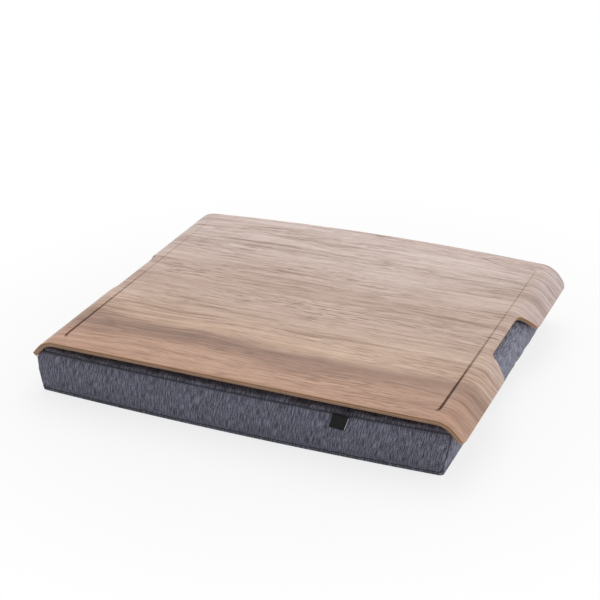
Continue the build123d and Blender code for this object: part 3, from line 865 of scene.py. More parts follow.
def base_points(across, back):
    """The base panel: it turns under as a quarter ellipse and lies flat on the ground."""
    place = cap_place(across, back, LOWER_SEAM)
    inside = np.minimum(rim_distance(place, LOWER_SEAM) / UNDER_RUN, 1)
    place[..., 2] = LOWER_SEAM * (1 - (1 - (1 - inside) ** UNDER_POWER) ** (1 / UNDER_POWER))
    return place


def cushion_faces(across, back, heights):
    """The six grids of the cushion: four walls with a row per height, the top and the base."""
    runs = {side: (back if side in FLANKS else across)[None, :] for side in SIDES}
    walls = {side: wall_point(side, run, heights[:, None]) for side, run in runs.items()}
    return walls | {"top": top_points(across, back), "base": base_points(across, back)}


def sew(faces):
    """Joins the grids into one mesh, all facing out: points, quads, where each grid starts."""
    points = np.vstack([grid.reshape(-1, 3) for grid in faces.values()])
    centre = points.mean(0)
    quads, first, starts = [], 0, {}
    for name, grid in faces.items():
        rows, columns = grid.shape[:2]
        quads.append(facing(points, grid_quads(rows, columns, first), centre))
        starts[name], first = first, first + rows * columns
    return points, np.vstack(quads), starts


# %% [markdown]
# ## Filling it with beads
#
# A stuffed cover bulges between its seams and puckers where they hold it. Pushing points about by
# hand gives lumps that look modelled. So the sewn form is given to the cloth solver with pressure
# inside: the seams, the zip and what rests on the ground or under the hook-and-loop strips are
# held, the rest swells. The solver works on a coarse copy, and how far each of its points moved,
# up to a cap, is carried over to the fine grids.

# %% Filling it with beads
ZIP_HEIGHT = (UPPER_SEAM + LOWER_SEAM) / 2
ZIP_HALF_LENGTH = 150 * MM
STRIP_CENTRES = [(x * MM, y * MM) for x in (-125, 125) for y in (-110, 110)]
STRIP_SIZE = (90 * MM, 25 * MM)
TRAY_UNDERSIDE = 55 * MM
PRESSURE = 4.0
MOVE_CAP = 3.0 * MM
SPREAD = 0.012
ROUGHEN = 0.15 * MM
FRAMES = 20
SOLVER_PITCH, SOLVER_ROWS = 6 * MM, 9
GROUND_HELD, REAR_HELD, ZIP_HELD = 0.8 * MM, 2 * MM, (6 * MM, 9 * MM)
CLOTH_SETTINGS = {
    "quality": 5, "mass": 0.3, "tension_stiffness": 15, "compression_stiffness": 15,
    "shear_stiffness": 5, "bending_stiffness": 0.5, "use_pressure": True,
    "uniform_pressure_force": PRESSURE, "vertex_group_mass": "held", "shrink_min": -SPREAD}


def held_points(points):
    """True for points that the solver holds: on the ground, round the zip, under the strips."""
    x, y, z = points.T
    beside = (np.abs(x) < ZIP_HALF_LENGTH + ZIP_HELD[0]) & (np.abs(z - ZIP_HEIGHT) < ZIP_HELD[1])
    held = (z < GROUND_HELD) | (y > CUSHION_REAR - REAR_HELD) & beside
    for centre in STRIP_CENTRES:
        near = np.abs(points[:, :2] - centre) < np.array(STRIP_SIZE) / 2
        held |= near.all(1) & (z > UPPER_SEAM)
    return held


def inflate(points, quads, held):
    """Runs the cloth solver with pressure on a closed mesh, and gives its last points."""
    scene = bpy.context.scene
    mesh = bpy.data.meshes.new("solver")
    mesh.from_pydata(points.tolist(), [], quads.tolist())
    copy = link_object("solver", mesh)
    copy.vertex_groups.new(name="held").add(np.flatnonzero(held).tolist(), 1.0, "REPLACE")
    cloth = copy.modifiers.new("cloth", "CLOTH")
    for name, value in CLOTH_SETTINGS.items():
        setattr(cloth.settings, name, value)
    cloth.settings.effector_weights.gravity = 0
    cloth.collision_settings.use_collision = False
    cloth.point_cache.frame_end = FRAMES
    for number in range(1, FRAMES + 1):
        scene.frame_set(number)
    solved = copy.evaluated_get(bpy.context.evaluated_depsgraph_get())
    settled = np.empty(len(points) * 3, np.float32)
    solved.data.vertices.foreach_get("co", settled)
    bpy.data.objects.remove(copy)
    bpy.data.meshes.remove(mesh)
    scene.frame_set(1)
    return settled.reshape(-1, 3).astype(float)


def swelling(across, back, heights):
    """How far each grid point of the cushion moves when it is filled, per face."""
    faces = cushion_faces(across, back, heights)
    points, quads, starts = sew(faces)
    welded, welded_quads, _, numbers = weld(points, quads)
    held = held_points(welded)
    for name, grid in faces.items():
        size = grid.shape[:2]
        rim = border(starts[name] + np.arange(size[0] * size[1]).reshape(size))
        held[numbers[rim]] = True
    rough = np.random.default_rng(7).normal(0, ROUGHEN, welded.shape) * ~held[:, None]
    moved = inflate(welded + rough, welded_quads, held) - welded
    length = np.linalg.norm(moved, axis=1, keepdims=True)
    mean, most = (round(float(value / MM), 2) for value in (length.mean(), length.max()))
    print("filled: mean move", mean, "mm, largest", most)
    moved = (moved * np.minimum(1, MOVE_CAP / np.maximum(length, 1e-9)))[numbers]
    return {name: moved[starts[name]: starts[name] + grid.size // 3].reshape(grid.shape)
            for name, grid in faces.items()}


def hermite(at, places, values):
    """Values along the first axis, read at other places by smooth cubic pieces."""
    slopes = np.gradient(values, places, axis=0)
    i = np.clip(np.searchsorted(places, at, side="right") - 1, 0, len(places) - 2)
    step = (places[i + 1] - places[i]).reshape(-1, *[1] * (values.ndim - 1))
    t = (at - places[i]).reshape(step.shape) / step
    a, b, c, d = values[i], values[i + 1], slopes[i] * step, slopes[i + 1] * step
    return a + t * (c + t * (3 * (b - a) - 2 * c - d + t * (2 * (a - b) + c + d)))


def refined(moved, rows, columns, new_rows, new_columns):
    """A grid of moves, read on finer rows and columns."""
    turned = hermite(new_rows, rows, moved).swapaxes(0, 1)
    return hermite(new_columns, columns, turned).swapaxes(0, 1)


def coarse_run(length):
    """Places for the solver: about 6 mm apart, closer at the corners."""
    ends = np.array([0, 0.5]) * HALF_ARC
    middle = np.linspace(HALF_ARC, length - HALF_ARC, int(length / SOLVER_PITCH))
    return np.concatenate([ends, middle, (length - ends)[::-1]])


coarse_across, coarse_back = coarse_run(WIDE), coarse_run(LONG)
coarse_down = np.linspace(0, UPPER_SEAM - LOWER_SEAM, SOLVER_ROWS)
moves = swelling(coarse_across, coarse_back, UPPER_SEAM - coarse_down)


# %% [markdown]
# ## The sewn cover
#
# Where two panels are sewn they are pulled in to a narrow valley, and the opening for the zip has
# turned-in hems. Both are too fine for the solver, so they come after it: the fine grids have
# extra rows and columns there, and the points go inwards by a bell curve of their distance to the
# seam.

# %% The sewn cover
CREASE_DEPTH, CREASE_WIDTH = 0.85 * MM, 1.15 * MM
SIDE_CREASE, BASE_CREASE = 0.35, 0.6
WING_CLEARANCE = 0.35 * MM
SLOT_HALF, SLOT_DEPTH, HEM_ROUND = 4.7 * MM, 3.7 * MM, 0.7 * MM
SEAM_STEPS = np.array([0, 0.5, 1.0, 1.6, 2.4, 3.2, HALF_ARC / MM, 5.4, 8.0]) * MM
CREASE_FADE, HEM_START = 12 * MM, 0.5
MIDDLE_START, FINE_PITCH = 12 * MM, 4.6 * MM
CAP_SHIFT, WALL_SHIFT = 0.31, 0.7
TRAY_GAP, WING_SLOPE = 0.25 * MM, 1.2
RECESS_RISE, RECESS_FALL, RECESS_BACK = (1 * MM, 4 * MM), (16 * MM, 28 * MM), 40 * MM


def fine_run(length, extra=()):
    """Places for the fine grids: close at the corners, 4.6 mm apart between, and extra ones."""
    middle = np.arange(MIDDLE_START, length - MIDDLE_START, FINE_PITCH)
    return np.unique(np.round(np.concatenate([SEAM_STEPS, middle, length - SEAM_STEPS, extra]), 7))


HEM_STEPS = ZIP_HALF_LENGTH + np.array([-0.4, 0.0, 0.4, 0.9, 1.6]) * MM
fine_across = fine_run(WIDE, np.concatenate([WIDE / 2 - HEM_STEPS, WIDE / 2 + HEM_STEPS]))
fine_back = fine_run(LONG)
zip_rows = UPPER_SEAM - ZIP_HEIGHT + np.array([-6.2, -5.4, -5.0, -4.7, -4.3, -3.9, -2, 0]) * MM
upper_rows = np.concatenate([SEAM_STEPS[:-1], [9 * MM, 11.5 * MM], zip_rows])
fine_down = np.unique(np.round(np.append(upper_rows, UPPER_SEAM - LOWER_SEAM - upper_rows), 7))


def wall_outward(side, run):
    """The level direction that a wall faces at each place of its run."""
    start, end = corner_turns(side, run)
    cos, sin = np.cos(start + end), np.sin(end) - np.sin(start)
    out, along = (np.array([*way, 0.0]) for way in (OUTWARDS[side], SIDES[side]))
    return cos[:, None] * out + sin[:, None] * along


def bell(distance):
    """A bell curve: 1 on the seam, near 0 two widths away."""
    return np.exp(-((distance / CREASE_WIDTH) ** 2))


def clear_of_wings(grid):
    """Keeps the points between the bent ends: as far inside the sheet's inner face as the
    clearance, at each height. Below the lips the limit opens quickly."""
    inner, middle = BEND_RADIUS - PLY_DEPTHS[-1], TRAY_TOP - BEND_RADIUS
    drop = middle + inner * np.cos(BEND_ANGLE)
    tip = drop - LIP_LENGTH * np.sin(BEND_ANGLE)
    z = grid[..., 2]
    arc = np.sqrt(np.maximum(inner**2 - np.maximum(z - middle, 0) ** 2, 0))
    lip = inner * np.sin(BEND_ANGLE) + (drop - z) / np.tan(BEND_ANGLE)
    opening = WING_SLOPE * np.maximum(tip - z, 0)
    limit = FLAT_HALF + np.where(z > drop, arc, lip) + opening - WING_CLEARANCE
    grid[..., 0] = np.clip(grid[..., 0], -limit, limit)


def wall_crease(side, run):
    """How much the seams pull in each point of a wall, and the way in which it faces."""
    corner = np.minimum(run, run[-1] - run)[None, :]
    share = 1 - (1 - SIDE_CREASE) * smooth_share(corner, 0, CREASE_FADE) * (side in FLANKS)
    upper = share * bell(fine_down[:, None])
    lower = BASE_CREASE * bell(fine_down[-1] - fine_down[:, None])
    return 1 - (1 - bell(corner)) * (1 - upper) * (1 - lower), wall_outward(side, run)[None]


def cap_crease(name):
    """The same for the top or the base, whose points face as the nearest wall does."""
    height = UPPER_SEAM if name == "top" else LOWER_SEAM
    inside = rim_distance(cap_place(fine_across, fine_back, height), height)
    size = inside.shape
    from_end = np.minimum(fine_back, LONG - fine_back)[:, None]
    from_side = np.minimum(fine_across, WIDE - fine_across)[None, :]
    flank = smooth_share(from_end, 0, CREASE_FADE) * (from_side < from_end)
    share = 1 - (1 - SIDE_CREASE) * flank if name == "top" else BASE_CREASE
    distances = (fine_back[:, None], (LONG - fine_back)[:, None],
                 fine_across[None, :], (WIDE - fine_across)[None, :])
    nearest = np.argmin([np.broadcast_to(distance, size) for distance in distances], 0)
    ways = [wall_outward(side, fine_across)[None] for side in ("front", "rear")]
    ways += [wall_outward(side, fine_back)[:, None] for side in FLANKS]
    ways = np.stack([np.broadcast_to(way, (*size, 3)) for way in ways])
    return share * bell(inside), np.take_along_axis(ways, nearest[None, ..., None], 0)[0]


def sewn_faces():
    """The fine grids of the filled cover with its creases and zip slot, and the creases."""
    faces = cushion_faces(fine_across, fine_back, UPPER_SEAM - fine_down)
    near = {}
    for name, grid in faces.items():
        runs = (fine_back, coarse_back) if name in FLANKS else (fine_across, coarse_across)
        rows = (fine_down, coarse_down) if name in SIDES else (fine_back, coarse_back)
        grid += refined(moves[name], rows[1], runs[1], rows[0], runs[0])
        near[name], outward = wall_crease(name, runs[0]) if name in SIDES else cap_crease(name)
        grid -= CREASE_DEPTH * near[name][..., None] * outward
    off = np.abs(UPPER_SEAM - fine_down - ZIP_HEIGHT)[:, None]
    end = np.abs(fine_across - WIDE / 2)[None, :]
    slot = 1.0
    for distance, half in ((off, SLOT_HALF), (end, ZIP_HALF_LENGTH)):
        slot = slot * (1 - smooth_share(distance, half - HEM_START * HEM_ROUND, half + HEM_ROUND))
    faces["rear"][..., 1] -= SLOT_DEPTH * slot
    for grid in faces.values():
        clear_of_wings(grid)
    faces["top"][..., 2] = np.minimum(faces["top"][..., 2], TRAY_UNDERSIDE - TRAY_GAP)
    faces["base"][..., 2] = np.maximum(faces["base"][..., 2], 0)
    return faces, near


def front_recess():
    """A band of the top panel, 1 in its middle, where the tray's front edge keeps light off."""
    rim = rim_distance(cap_place(fine_across, fine_back, UPPER_SEAM), UPPER_SEAM)
    band = smooth_share(rim, *RECESS_RISE) * (1 - smooth_share(rim, *RECESS_FALL))
    return band * (fine_back < RECESS_BACK)[:, None]


def weave_place(number, name, grid):
    """Texture places in metres: run and height on a wall, X and Y on the top and the base. Each
    face is shifted by its number, so that no two show the same cloth."""
    if name not in SIDES:
        return grid[..., :2] + CAP_SHIFT * number
    run = (fine_back if name in FLANKS else fine_across) + WALL_SHIFT * number
    return np.stack(np.broadcast_arrays(run[None, :], -fine_down[:, None]), -1)


def in_row(grids, width=1):
    """The points of several grids, one grid after the other."""
    return np.vstack([grid.reshape(-1, width) for grid in grids])


faces, near = sewn_faces()
cover_points, cover_quads, _ = sew(faces)
weave = in_row([weave_place(number, *item) for number, item in enumerate(faces.items())], 2)
# The band of painted shade under the tray's front edge, on the top panel only.
painted_shade = in_row([front_recess() if name == "top" else 0 * share for name, share in near.items()])
cover_points, welded_quads, kept, _ = weld(cover_points, cover_quads)
cover = make_piece(
    "cushion_cover", (cover_points, welded_quads), "cushion", HEATHER, "cover_fabric",
    "cover_top_panel", "cover_bottom_panel", "cover_front_panel", "cover_left_panel",
    "cover_right_panel", "cover_rear_panel_upper", "cover_rear_panel_lower",
    layers={WEAVE_LAYER: weave[cover_quads.reshape(-1)]},
    marks={"seam": in_row(near.values())[kept], "painted_shade": painted_shade[kept]})

# %% [markdown]
# ## Tubes and shells
#
# Thread, cords and folded ribbon are all one of two things: a tube along a path, or a thin sheet
# between two grids. A curve with a bevel would make the tube too, but its radius could not vary by
# a formula along the way. Which way the faces look is settled by the sign of the volume that they
# enclose.

# %% Tubes and shells


def outward(points, quads):
    """The quads of a closed mesh, turned so that the volume inside is positive."""
    a, b, c, d = (points[quads[:, k]] for k in range(4))
    volume = (np.cross(b - a, c - a) * a).sum() + (np.cross(c - a, d - a) * a).sum()
    return quads[:, ::-1] if volume < 0 else quads


def resampled(path, step, closed=False):
    """A path with its points evenly spaced along it."""
    if closed:
        path = np.vstack([path, path[:1]])
    length = np.append(0, np.cumsum(np.linalg.norm(np.diff(path, axis=0), axis=1)))
    count = int(round(length[-1] / step))
    at = np.linspace(0, length[-1], count + 1)[: count + (not closed)]
    return np.stack([np.interp(at, length, path[:, k]) for k in range(3)], -1)


def unit(vectors):
    """Vectors of the same way and of length 1."""
    return vectors / np.linalg.norm(vectors, axis=1, keepdims=True)


def tube(path, radius, sides=6, closed=False, up=(0, 0, 1)):
    """Points and quads of a tube: a ring square to the path at each of its points, and two quads
    over each open end of a six-sided one."""
    ahead = np.roll(path, -1, 0) - np.roll(path, 1, 0) if closed else np.gradient(path, axis=0)
    side = unit(np.cross(ahead, np.broadcast_to(np.array(up, float), ahead.shape)))
    top = unit(np.cross(side, ahead))
    angle = (np.arange(sides) * 2 * np.pi / sides)[None, :, None]
    ring = np.cos(angle) * side[:, None] + np.sin(angle) * top[:, None]
    points = path[:, None] + np.broadcast_to(radius, len(path))[:, None, None] * ring
    numbers = np.arange(len(path) * sides).reshape(-1, sides)
    following = np.roll(numbers, -1, 0)
    first, second = (numbers, following) if closed else (numbers[:-1], following[:-1])
    quads = np.stack([first, np.roll(first, -1, 1), np.roll(second, -1, 1), second], -1)
    quads = quads.reshape(-1, 4)
    if not closed:
        start, end = numbers[0], numbers[-1][::-1]
        caps = [start[[3, 2, 1, 0]], start[[5, 4, 3, 0]], end[[3, 2, 1, 0]], end[[5, 4, 3, 0]]]
        quads = np.vstack([quads, caps])
    return points.reshape(-1, 3), outward(points.reshape(-1, 3), quads)


def shell(outer, inner):
    """Points and quads of a closed sheet between two grids of one size."""
    size = outer.shape[:2]
    numbers = np.arange(size[0] * size[1]).reshape(size)
    rim, far = border(numbers), border(numbers) + numbers.size
    sides = np.stack([rim, far, np.roll(far, -1), np.roll(rim, -1)], -1)
    quads = np.vstack([grid_quads(*size), grid_quads(*size, first=numbers.size)[:, ::-1], sides])
    points = np.vstack([outer.reshape(-1, 3), inner.reshape(-1, 3)])
    return points, outward(points, quads)


def together(meshes):
    """One mesh from several (points, quads)."""
    starts = np.cumsum([0] + [len(points) for points, _ in meshes])
    quads = [quads + start for (_, quads), start in zip(meshes, starts)]
    return np.vstack([points for points, _ in meshes]), np.vstack(quads)


# %% [markdown]
# ## Seams
#
# Where two panels meet, the thread and the folded edges fill the valley with a narrow, slightly
# knotted line. A dark stripe painted on the cover would have no relief. So a thin cord lies in
# each valley: round the top, round the base, and up the four corners. Its radius swells and
# shrinks once per stitch. On the flanks, in the tray's notches, it lies a little deeper.

# %% Seams
SEAM_RADIUS, SEAM_OUT, SEAM_SUNK = 0.5 * MM, 0.12 * MM, 0.5 * MM
FLANK_X, FLANK_Y = CUSHION_HALF - 12 * MM, 150 * MM
STITCH_PITCH = 2.8 * MM


def thread_material(name, pale, dark, rough, sheen=0.0):
    """Spun yarn: fine fibres shade it from dark to pale and lift its surface."""
    inputs = {"Roughness": rough, "Specular IOR Level": 0.3, "Sheen Weight": sheen}
    return fibrous_material(name, pale, dark, ((1400.0, 1400.0, 1800.0), 2.0, 0.6),
                            ((90.0, 90.0, 160.0), 2.0), (0.36, 0.64), (0.0001, 0.6), inputs)


def seam_cord(path, closed, up=(0, 0, 1)):
    """A cord in a valley, knotted by its stitches."""
    path = resampled(path, STITCH_PITCH / 4, closed)
    radius = SEAM_RADIUS * (0.9 + 0.2 * np.cos(np.arange(len(path)) * np.pi / 2))
    return tube(path, radius, closed=closed, up=up)


def rim_seam(name):
    """The cord round the top or the base: along the border of its grid, a little outwards."""
    path = border(faces[name])
    middle = np.array([TOP_SHIFT if name == "top" else BASE_SHIFT, path[:, 1].mean(), 0.0])
    flank = (np.abs(path[:, :1]) > FLANK_X) & (np.abs(path[:, 1:2]) < FLANK_Y)
    outwards = unit((path - middle) * [1, 1, 0])
    return [seam_cord(path + (SEAM_OUT - SEAM_SUNK * flank) * outwards, True)]


def corner_seam(side, end):
    """The cord up one corner, from the first or the last column of the front or rear wall."""
    outwards = np.array([1 if end else -1, -1 if side == "front" else 1, 0])
    return seam_cord(faces[side][:, end] + SEAM_OUT * outwards, False, (0, 1, 0))


corners = [corner_seam(side, end) for side in ("front", "rear") for end in (0, -1)]
SEAM_THREAD = thread_material(
    "seam thread", (0.115, 0.118, 0.145), (0.035, 0.036, 0.045), 0.85, 0.2)
for name, cords, node_name in (("seam_round_the_top", rim_seam("top"), "upper_seam"),
                               ("seam_round_the_base", rim_seam("base"), "lower_seam"),
                               ("seams_up_the_corners", corners, "corner_seams")):
    make_piece(name, together(cords), "cushion", SEAM_THREAD, "seam_thread", node_name)

# %% [markdown]
# ## Stitches
#
# Beside each corner seam, along the zip's hems and round the loop strips runs a row of
# lockstitches. Each is a short bar of thread whose ends dive into the cloth. They could be dashes
# in the fabric's colour, but close up a stitch catches light. One small form is repeated along
# rows that are read off the sewn grids.

# %% Stitches
STITCH_LENGTH, STITCH_RADIUS = 2.2 * MM, 0.22 * MM
STITCH_RISE, STITCH_DIVE = 0.12 * MM, 0.3 * MM
CORNER_ROW, HEM_ROW = 4.6 * MM, SLOT_HALF + 2.4 * MM
ROW_END, HEM_PAST = 3 * MM, 4 * MM
COVER_THREAD = thread_material("cover thread", (0.23, 0.235, 0.28), (0.10, 0.102, 0.125), 0.7)
BLACK_THREAD = thread_material("black thread", (0.05, 0.05, 0.055), (0.015, 0.015, 0.017), 0.6)


def on_wall(side, down, run):
    """Points of the front or rear wall between its rows and columns, by straight interpolation."""
    grid, down, run = faces[side], *np.broadcast_arrays(down, run)
    i = np.clip(np.searchsorted(fine_down, down) - 1, 0, len(fine_down) - 2)
    j = np.clip(np.searchsorted(fine_across, run) - 1, 0, len(fine_across) - 2)
    t = ((down - fine_down[i]) / (fine_down[i + 1] - fine_down[i]))[..., None]
    u = ((run - fine_across[j]) / (fine_across[j + 1] - fine_across[j]))[..., None]
    upper, lower = (grid[row, j] * (1 - u) + grid[row, j + 1] * u for row in (i, i + 1))
    return upper * (1 - t) + lower * t


def stitch(centre, ahead, out):
    """One stitch: a tube of five rings that bows away from the cloth in its middle."""
    t = np.linspace(-1, 1, 5)[:, None]
    path = centre + ahead * t * STITCH_LENGTH / 2 + out * (STITCH_RISE - STITCH_DIVE * t**4)
    return tube(path, STITCH_RADIUS * (1 - 0.5 * t[:, 0] ** 4), up=out)


def stitch_row(points, out):
    """Stitches along a row of points, evenly spaced."""
    row = resampled(points, STITCH_PITCH)
    ways = unit(np.gradient(row, axis=0))
    return [stitch(centre, ahead, np.array(out, float)) for centre, ahead in zip(row, ways)]


upright = np.linspace(ROW_END, UPPER_SEAM - LOWER_SEAM - ROW_END, 20)
stitches = []
for side, out in (("front", (0, -1, 0)), ("rear", (0, 1, 0))):
    for run in (CORNER_ROW, WIDE - CORNER_ROW):
        stitches += stitch_row(on_wall(side, upright, run), out)
hem_half = ZIP_HALF_LENGTH + HEM_PAST
hem_run = np.linspace(-hem_half, hem_half, 80) + WIDE / 2
for offset in (-HEM_ROW, HEM_ROW):
    stitches += stitch_row(on_wall("rear", UPPER_SEAM - ZIP_HEIGHT + offset, hem_run), (0, 1, 0))
make_piece("cover_stitches", together(stitches), "cushion", COVER_THREAD, "seam_thread")

# %% [markdown]
# ## Woven tag
#
# A short black ribbon is folded in two and sewn into the upper seam, so that it hangs on the
# front, a little askew. A flat plate would lack the fold. Here the ribbon is a thin shell along a
# U: down in front, round the fold and up behind. It follows the wall behind it, which it reads at
# two levels. A white thread runs down its right edge.

# %% Woven tag
TAG_LEFT, TAG_RIGHT = (101.4 * MM, 99.2 * MM), (118.9 * MM, 115.0 * MM)
TAG_DROP, TAG_FOLD, TAG_CLOTH = 11.5 * MM, 0.5 * MM, 0.34 * MM
TAG_TOP_ROW = 2.5 * MM
TAG_PAST, TAG_CURL, TAG_SAG = 0.4 * MM, 0.5 * MM, 0.8 * MM
TAG_OFF, TAG_LIFT = 1.45 * MM, 0.35 * MM
TAG_STEPS = 18
WHITE_RADIUS, WHITE_ACROSS, WHITE_OUT = 0.34 * MM, 0.955, 0.15 * MM
WHITE_START, WHITE_END = 0.2 * MM, 0.5 * MM


def tag_profile():
    """The U as (down, out) places from the seam: front layer, half circle, back layer."""
    front = np.linspace(-TAG_PAST, TAG_DROP, TAG_STEPS)
    turn = np.linspace(0, np.pi, 8)[1:-1]
    down = np.concatenate([front, TAG_DROP + TAG_FOLD * np.sin(turn), front[::-1]])
    out = np.concatenate([0 * front, -TAG_FOLD * (1 - np.cos(turn)), 0 * front - 2 * TAG_FOLD])
    lifted = TAG_OFF + TAG_LIFT * np.clip(down / TAG_DROP, 0, 1) ** 2
    return down, out + lifted


def tag_place(down, out, across):
    """A point of the tag: across from its left to its right edge, out from the front wall."""
    fall = np.clip(down / TAG_DROP, 0, 1.05)
    left, right = (edge[0] + (edge[1] - edge[0]) * fall for edge in (TAG_LEFT, TAG_RIGHT))
    x = left + (right - left) * across
    run = np.linspace(0, WIDE, 200)
    rows = (on_wall("front", level, run) for level in (TAG_TOP_ROW, TAG_DROP))
    high, low = (np.interp(x, row[:, 0], row[:, 1]) for row in rows)
    share = np.clip((down - TAG_TOP_ROW) / (TAG_DROP - TAG_TOP_ROW), 0, 1.1)
    curl = TAG_CURL * (2 * across - 1) ** 2 * fall
    height = UPPER_SEAM - down - TAG_SAG * across * fall
    return np.stack([x, high + (low - high) * share - out - curl, height], -1)


def ribbon_material():
    """Black satin ribbon: fine ribs along both yarns, a few paler fibres, a soft gloss."""
    material, shader, place = new_material("black woven ribbon")
    fibres = noise(place, (2200.0, 900.0, 900.0), 2.0)
    ribs = waves(place, "X", 0.42 * MM) * waves(place, "Z", 0.5 * MM)
    feed(shader, {
        "Base Color": ramp(fibres, (0.35, grey(0.003)), (0.7, grey(0.011))),
        "Roughness": 0.65, "Specular IOR Level": 0.25, "Normal": bump(ribs, 0.00006, 0.5)})
    return material


profile = np.stack(tag_profile(), -1)
slope = np.gradient(profile, axis=0)
across_cloth = unit(np.stack([-slope[:, 1], slope[:, 0]], -1)) * TAG_CLOTH / 2
tag_sides = [tag_place(*side.T[..., None], np.linspace(0, 1, 15)[None, :])
             for side in (profile + across_cloth, profile - across_cloth)]
tag = make_piece("woven_tag_ribbon", shell(*tag_sides), "cushion", ribbon_material(),
                 "tag_ribbon", "woven_tag")
stitch_down = np.linspace(WHITE_START, TAG_DROP - WHITE_END, 24)
stitch_out = np.interp(stitch_down, *profile[:TAG_STEPS].T) + TAG_CLOTH / 2 + WHITE_OUT
white_path = tag_place(stitch_down, stitch_out, WHITE_ACROSS)
WHITE_THREAD = thread_material("white thread", (0.95, 0.95, 0.95), (0.8, 0.8, 0.82), 0.6)
white_line = make_piece("tag_white_stitch", tube(white_path, WHITE_RADIUS, up=(0, 1, 0)),
                        "cushion", WHITE_THREAD, "seam_thread")

# %% [markdown]
# ## Zip tapes
#
# The zip's two woven tapes lie in the opening, each with a rib beside its teeth. Boxes would look
# like plastic strips. Each tape is a shell whose outer face follows a profile across its width,
# with a herringbone weave in its bump.

# %% Zip tapes
TAPE_FOLD, TAPE_PITCH = 1.2 * MM, 0.8 * MM
TAPE_SHARE = np.array([0, 0.01, 0.04, 0.1, 0.17, 0.25, 0.34, 0.6, 0.9, 0.97, 1.0])
TAPE_RISE = np.array([-0.2, -0.08, 0, 0.02, 0.14, 0.03, 0, 0, 0, -0.06, -0.2]) * MM


def tape_material():
    """Woven tape: slanting ribs that turn over every 1.2 mm along Z, over charcoal yarn."""
    material, shader, place = new_material("zip tape weave")
    slanted = part(place, "X") + part(place, "Z").math("PINGPONG", TAPE_FOLD)
    ribs = (slanted * float(2 * np.pi / TAPE_PITCH)).math("SINE")
    tone = ribs * 0.1 + noise(place, (1500.0, 1500.0, 1500.0), 2.0)
    feed(shader, {
        "Base Color": ramp(tone, (0.35, (0.03, 0.031, 0.036)), (0.66, (0.085, 0.087, 0.1))),
        "Roughness": 0.85, "Normal": bump(ribs, 0.00008, 0.6)})
    return material


def zip_tape(side):
    """One tape in the place of its CAD node: thin at its edges, a rib next to the teeth."""
    low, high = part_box(f"zip_tape_{side}")
    toothed, free = (low[2], high[2]) if side == "upper" else (high[2], low[2])
    x, z = np.meshgrid(np.linspace(low[0], high[0], 121), toothed + (free - toothed) * TAPE_SHARE)
    outer_y = np.broadcast_to((high[1] + TAPE_RISE)[:, None], x.shape)
    return shell(np.stack([x, outer_y, z], -1), np.stack([x, np.full(x.shape, low[1]), z], -1))


TAPE = tape_material()
for side in ("upper", "lower"):
    make_piece(f"zip_{side}_tape", zip_tape(side), "cushion", TAPE, "zip_tape", f"zip_tape_{side}")

# %% [markdown]
# ## Zip teeth, stops, slider and puller
#
# Cast and stamped pieces have the CAD model's shape with every edge rounded. A CAD mesh is loose
# triangles, so it can't be bevelled as it is. A copy is welded into flat faces first, and then a
# bevel rounds its edges.

# %% Zip teeth, stops, slider and puller
WELD_REACH, FLAT_ANGLE, SHARP_ANGLE = 1e-6, np.radians(1), np.radians(35)


def rounded_copy(name, node_name, body, material, width):
    """A copy of a CAD node with its triangles joined into flat faces and its edges rounded."""
    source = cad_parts[node_name]
    shape = bmesh.new()
    shape.from_mesh(source.data)
    shape.transform(source.matrix_world)
    bmesh.ops.remove_doubles(shape, verts=shape.verts, dist=WELD_REACH)
    bmesh.ops.dissolve_limit(shape, angle_limit=FLAT_ANGLE, verts=shape.verts, edges=shape.edges)
    bmesh.ops.recalc_face_normals(shape, faces=shape.faces)
    mesh = bpy.data.meshes.new(name)
    shape.to_mesh(mesh)
    shape.free()
    mesh.materials.clear()
    mesh.materials.append(material)
    mesh.polygons.foreach_set("use_smooth", np.ones(len(mesh.polygons), bool))
    bevel = settle(name, mesh, body, [node_name]).modifiers.new("rounded edges", "BEVEL")
    bevel.width, bevel.segments, bevel.limit_method = width, 2, "ANGLE"
    bevel.angle_limit = SHARP_ANGLE
    bevel.harden_normals = True
    print(name, len(mesh.polygons), "faces before the bevel")


def cast_material(name, pale, dark, rough, metal, scale):
    """Painted or moulded surface: faint mottling, fine pits, gloss that varies by rubbing."""
    material, shader, place = new_material(name)
    mottle = noise(place, (scale,) * 3, 3.0)
    rubbed = noise(place, (scale * 0.3,) * 3, 2.0)
    feed(shader, {
        "Base Color": ramp(mottle, (0.35, dark), (0.65, pale)), "Metallic": metal,
        "Roughness": between(rubbed, 0.3, 0.7, rough - 0.08, rough + 0.1),
        "Normal": bump(mottle, 0.00003, 0.4)})
    return material


TEETH = cast_material("moulded zip teeth", grey(0.075), grey(0.045), 0.42, 0.0, 900.0)
ZIP_METAL = cast_material(
    "dark zip metal", (0.13, 0.132, 0.14), (0.07, 0.071, 0.077), 0.36, 0.75, 1200.0)
for name, node_name, body, width in (
        ("zip_upper_teeth", "zip_chain_upper", "cushion", 0.16),
        ("zip_lower_teeth", "zip_chain_lower", "cushion", 0.16),
        ("zip_open_end_stops", "zip_top_stops", "cushion", 0.3),
        ("zip_closed_end_stop", "zip_bottom_stop", "cushion", 0.3),
        ("zip_slider_body", "zip_slider", "slider", 0.25),
        ("zip_puller_tab", "zip_puller", "puller", 0.25)):
    material, slot = (TEETH, "zip_teeth") if "teeth" in name else (ZIP_METAL, "zip_metal")
    rounded_copy(name, node_name, body, material, width * MM)

# %% [markdown]
# ## Hook and loop strips
#
# Four hook strips are stuck under the tray, and four loop strips are sewn on the cushion. Each has
# a flat selvedge and a raised field of fine hooks or loops. Modelling every hook would take a
# hundred thousand faces that no view shows, so a grid gives the strip its selvedge, its raised
# field and a slight unevenness, and the bump does the rest.

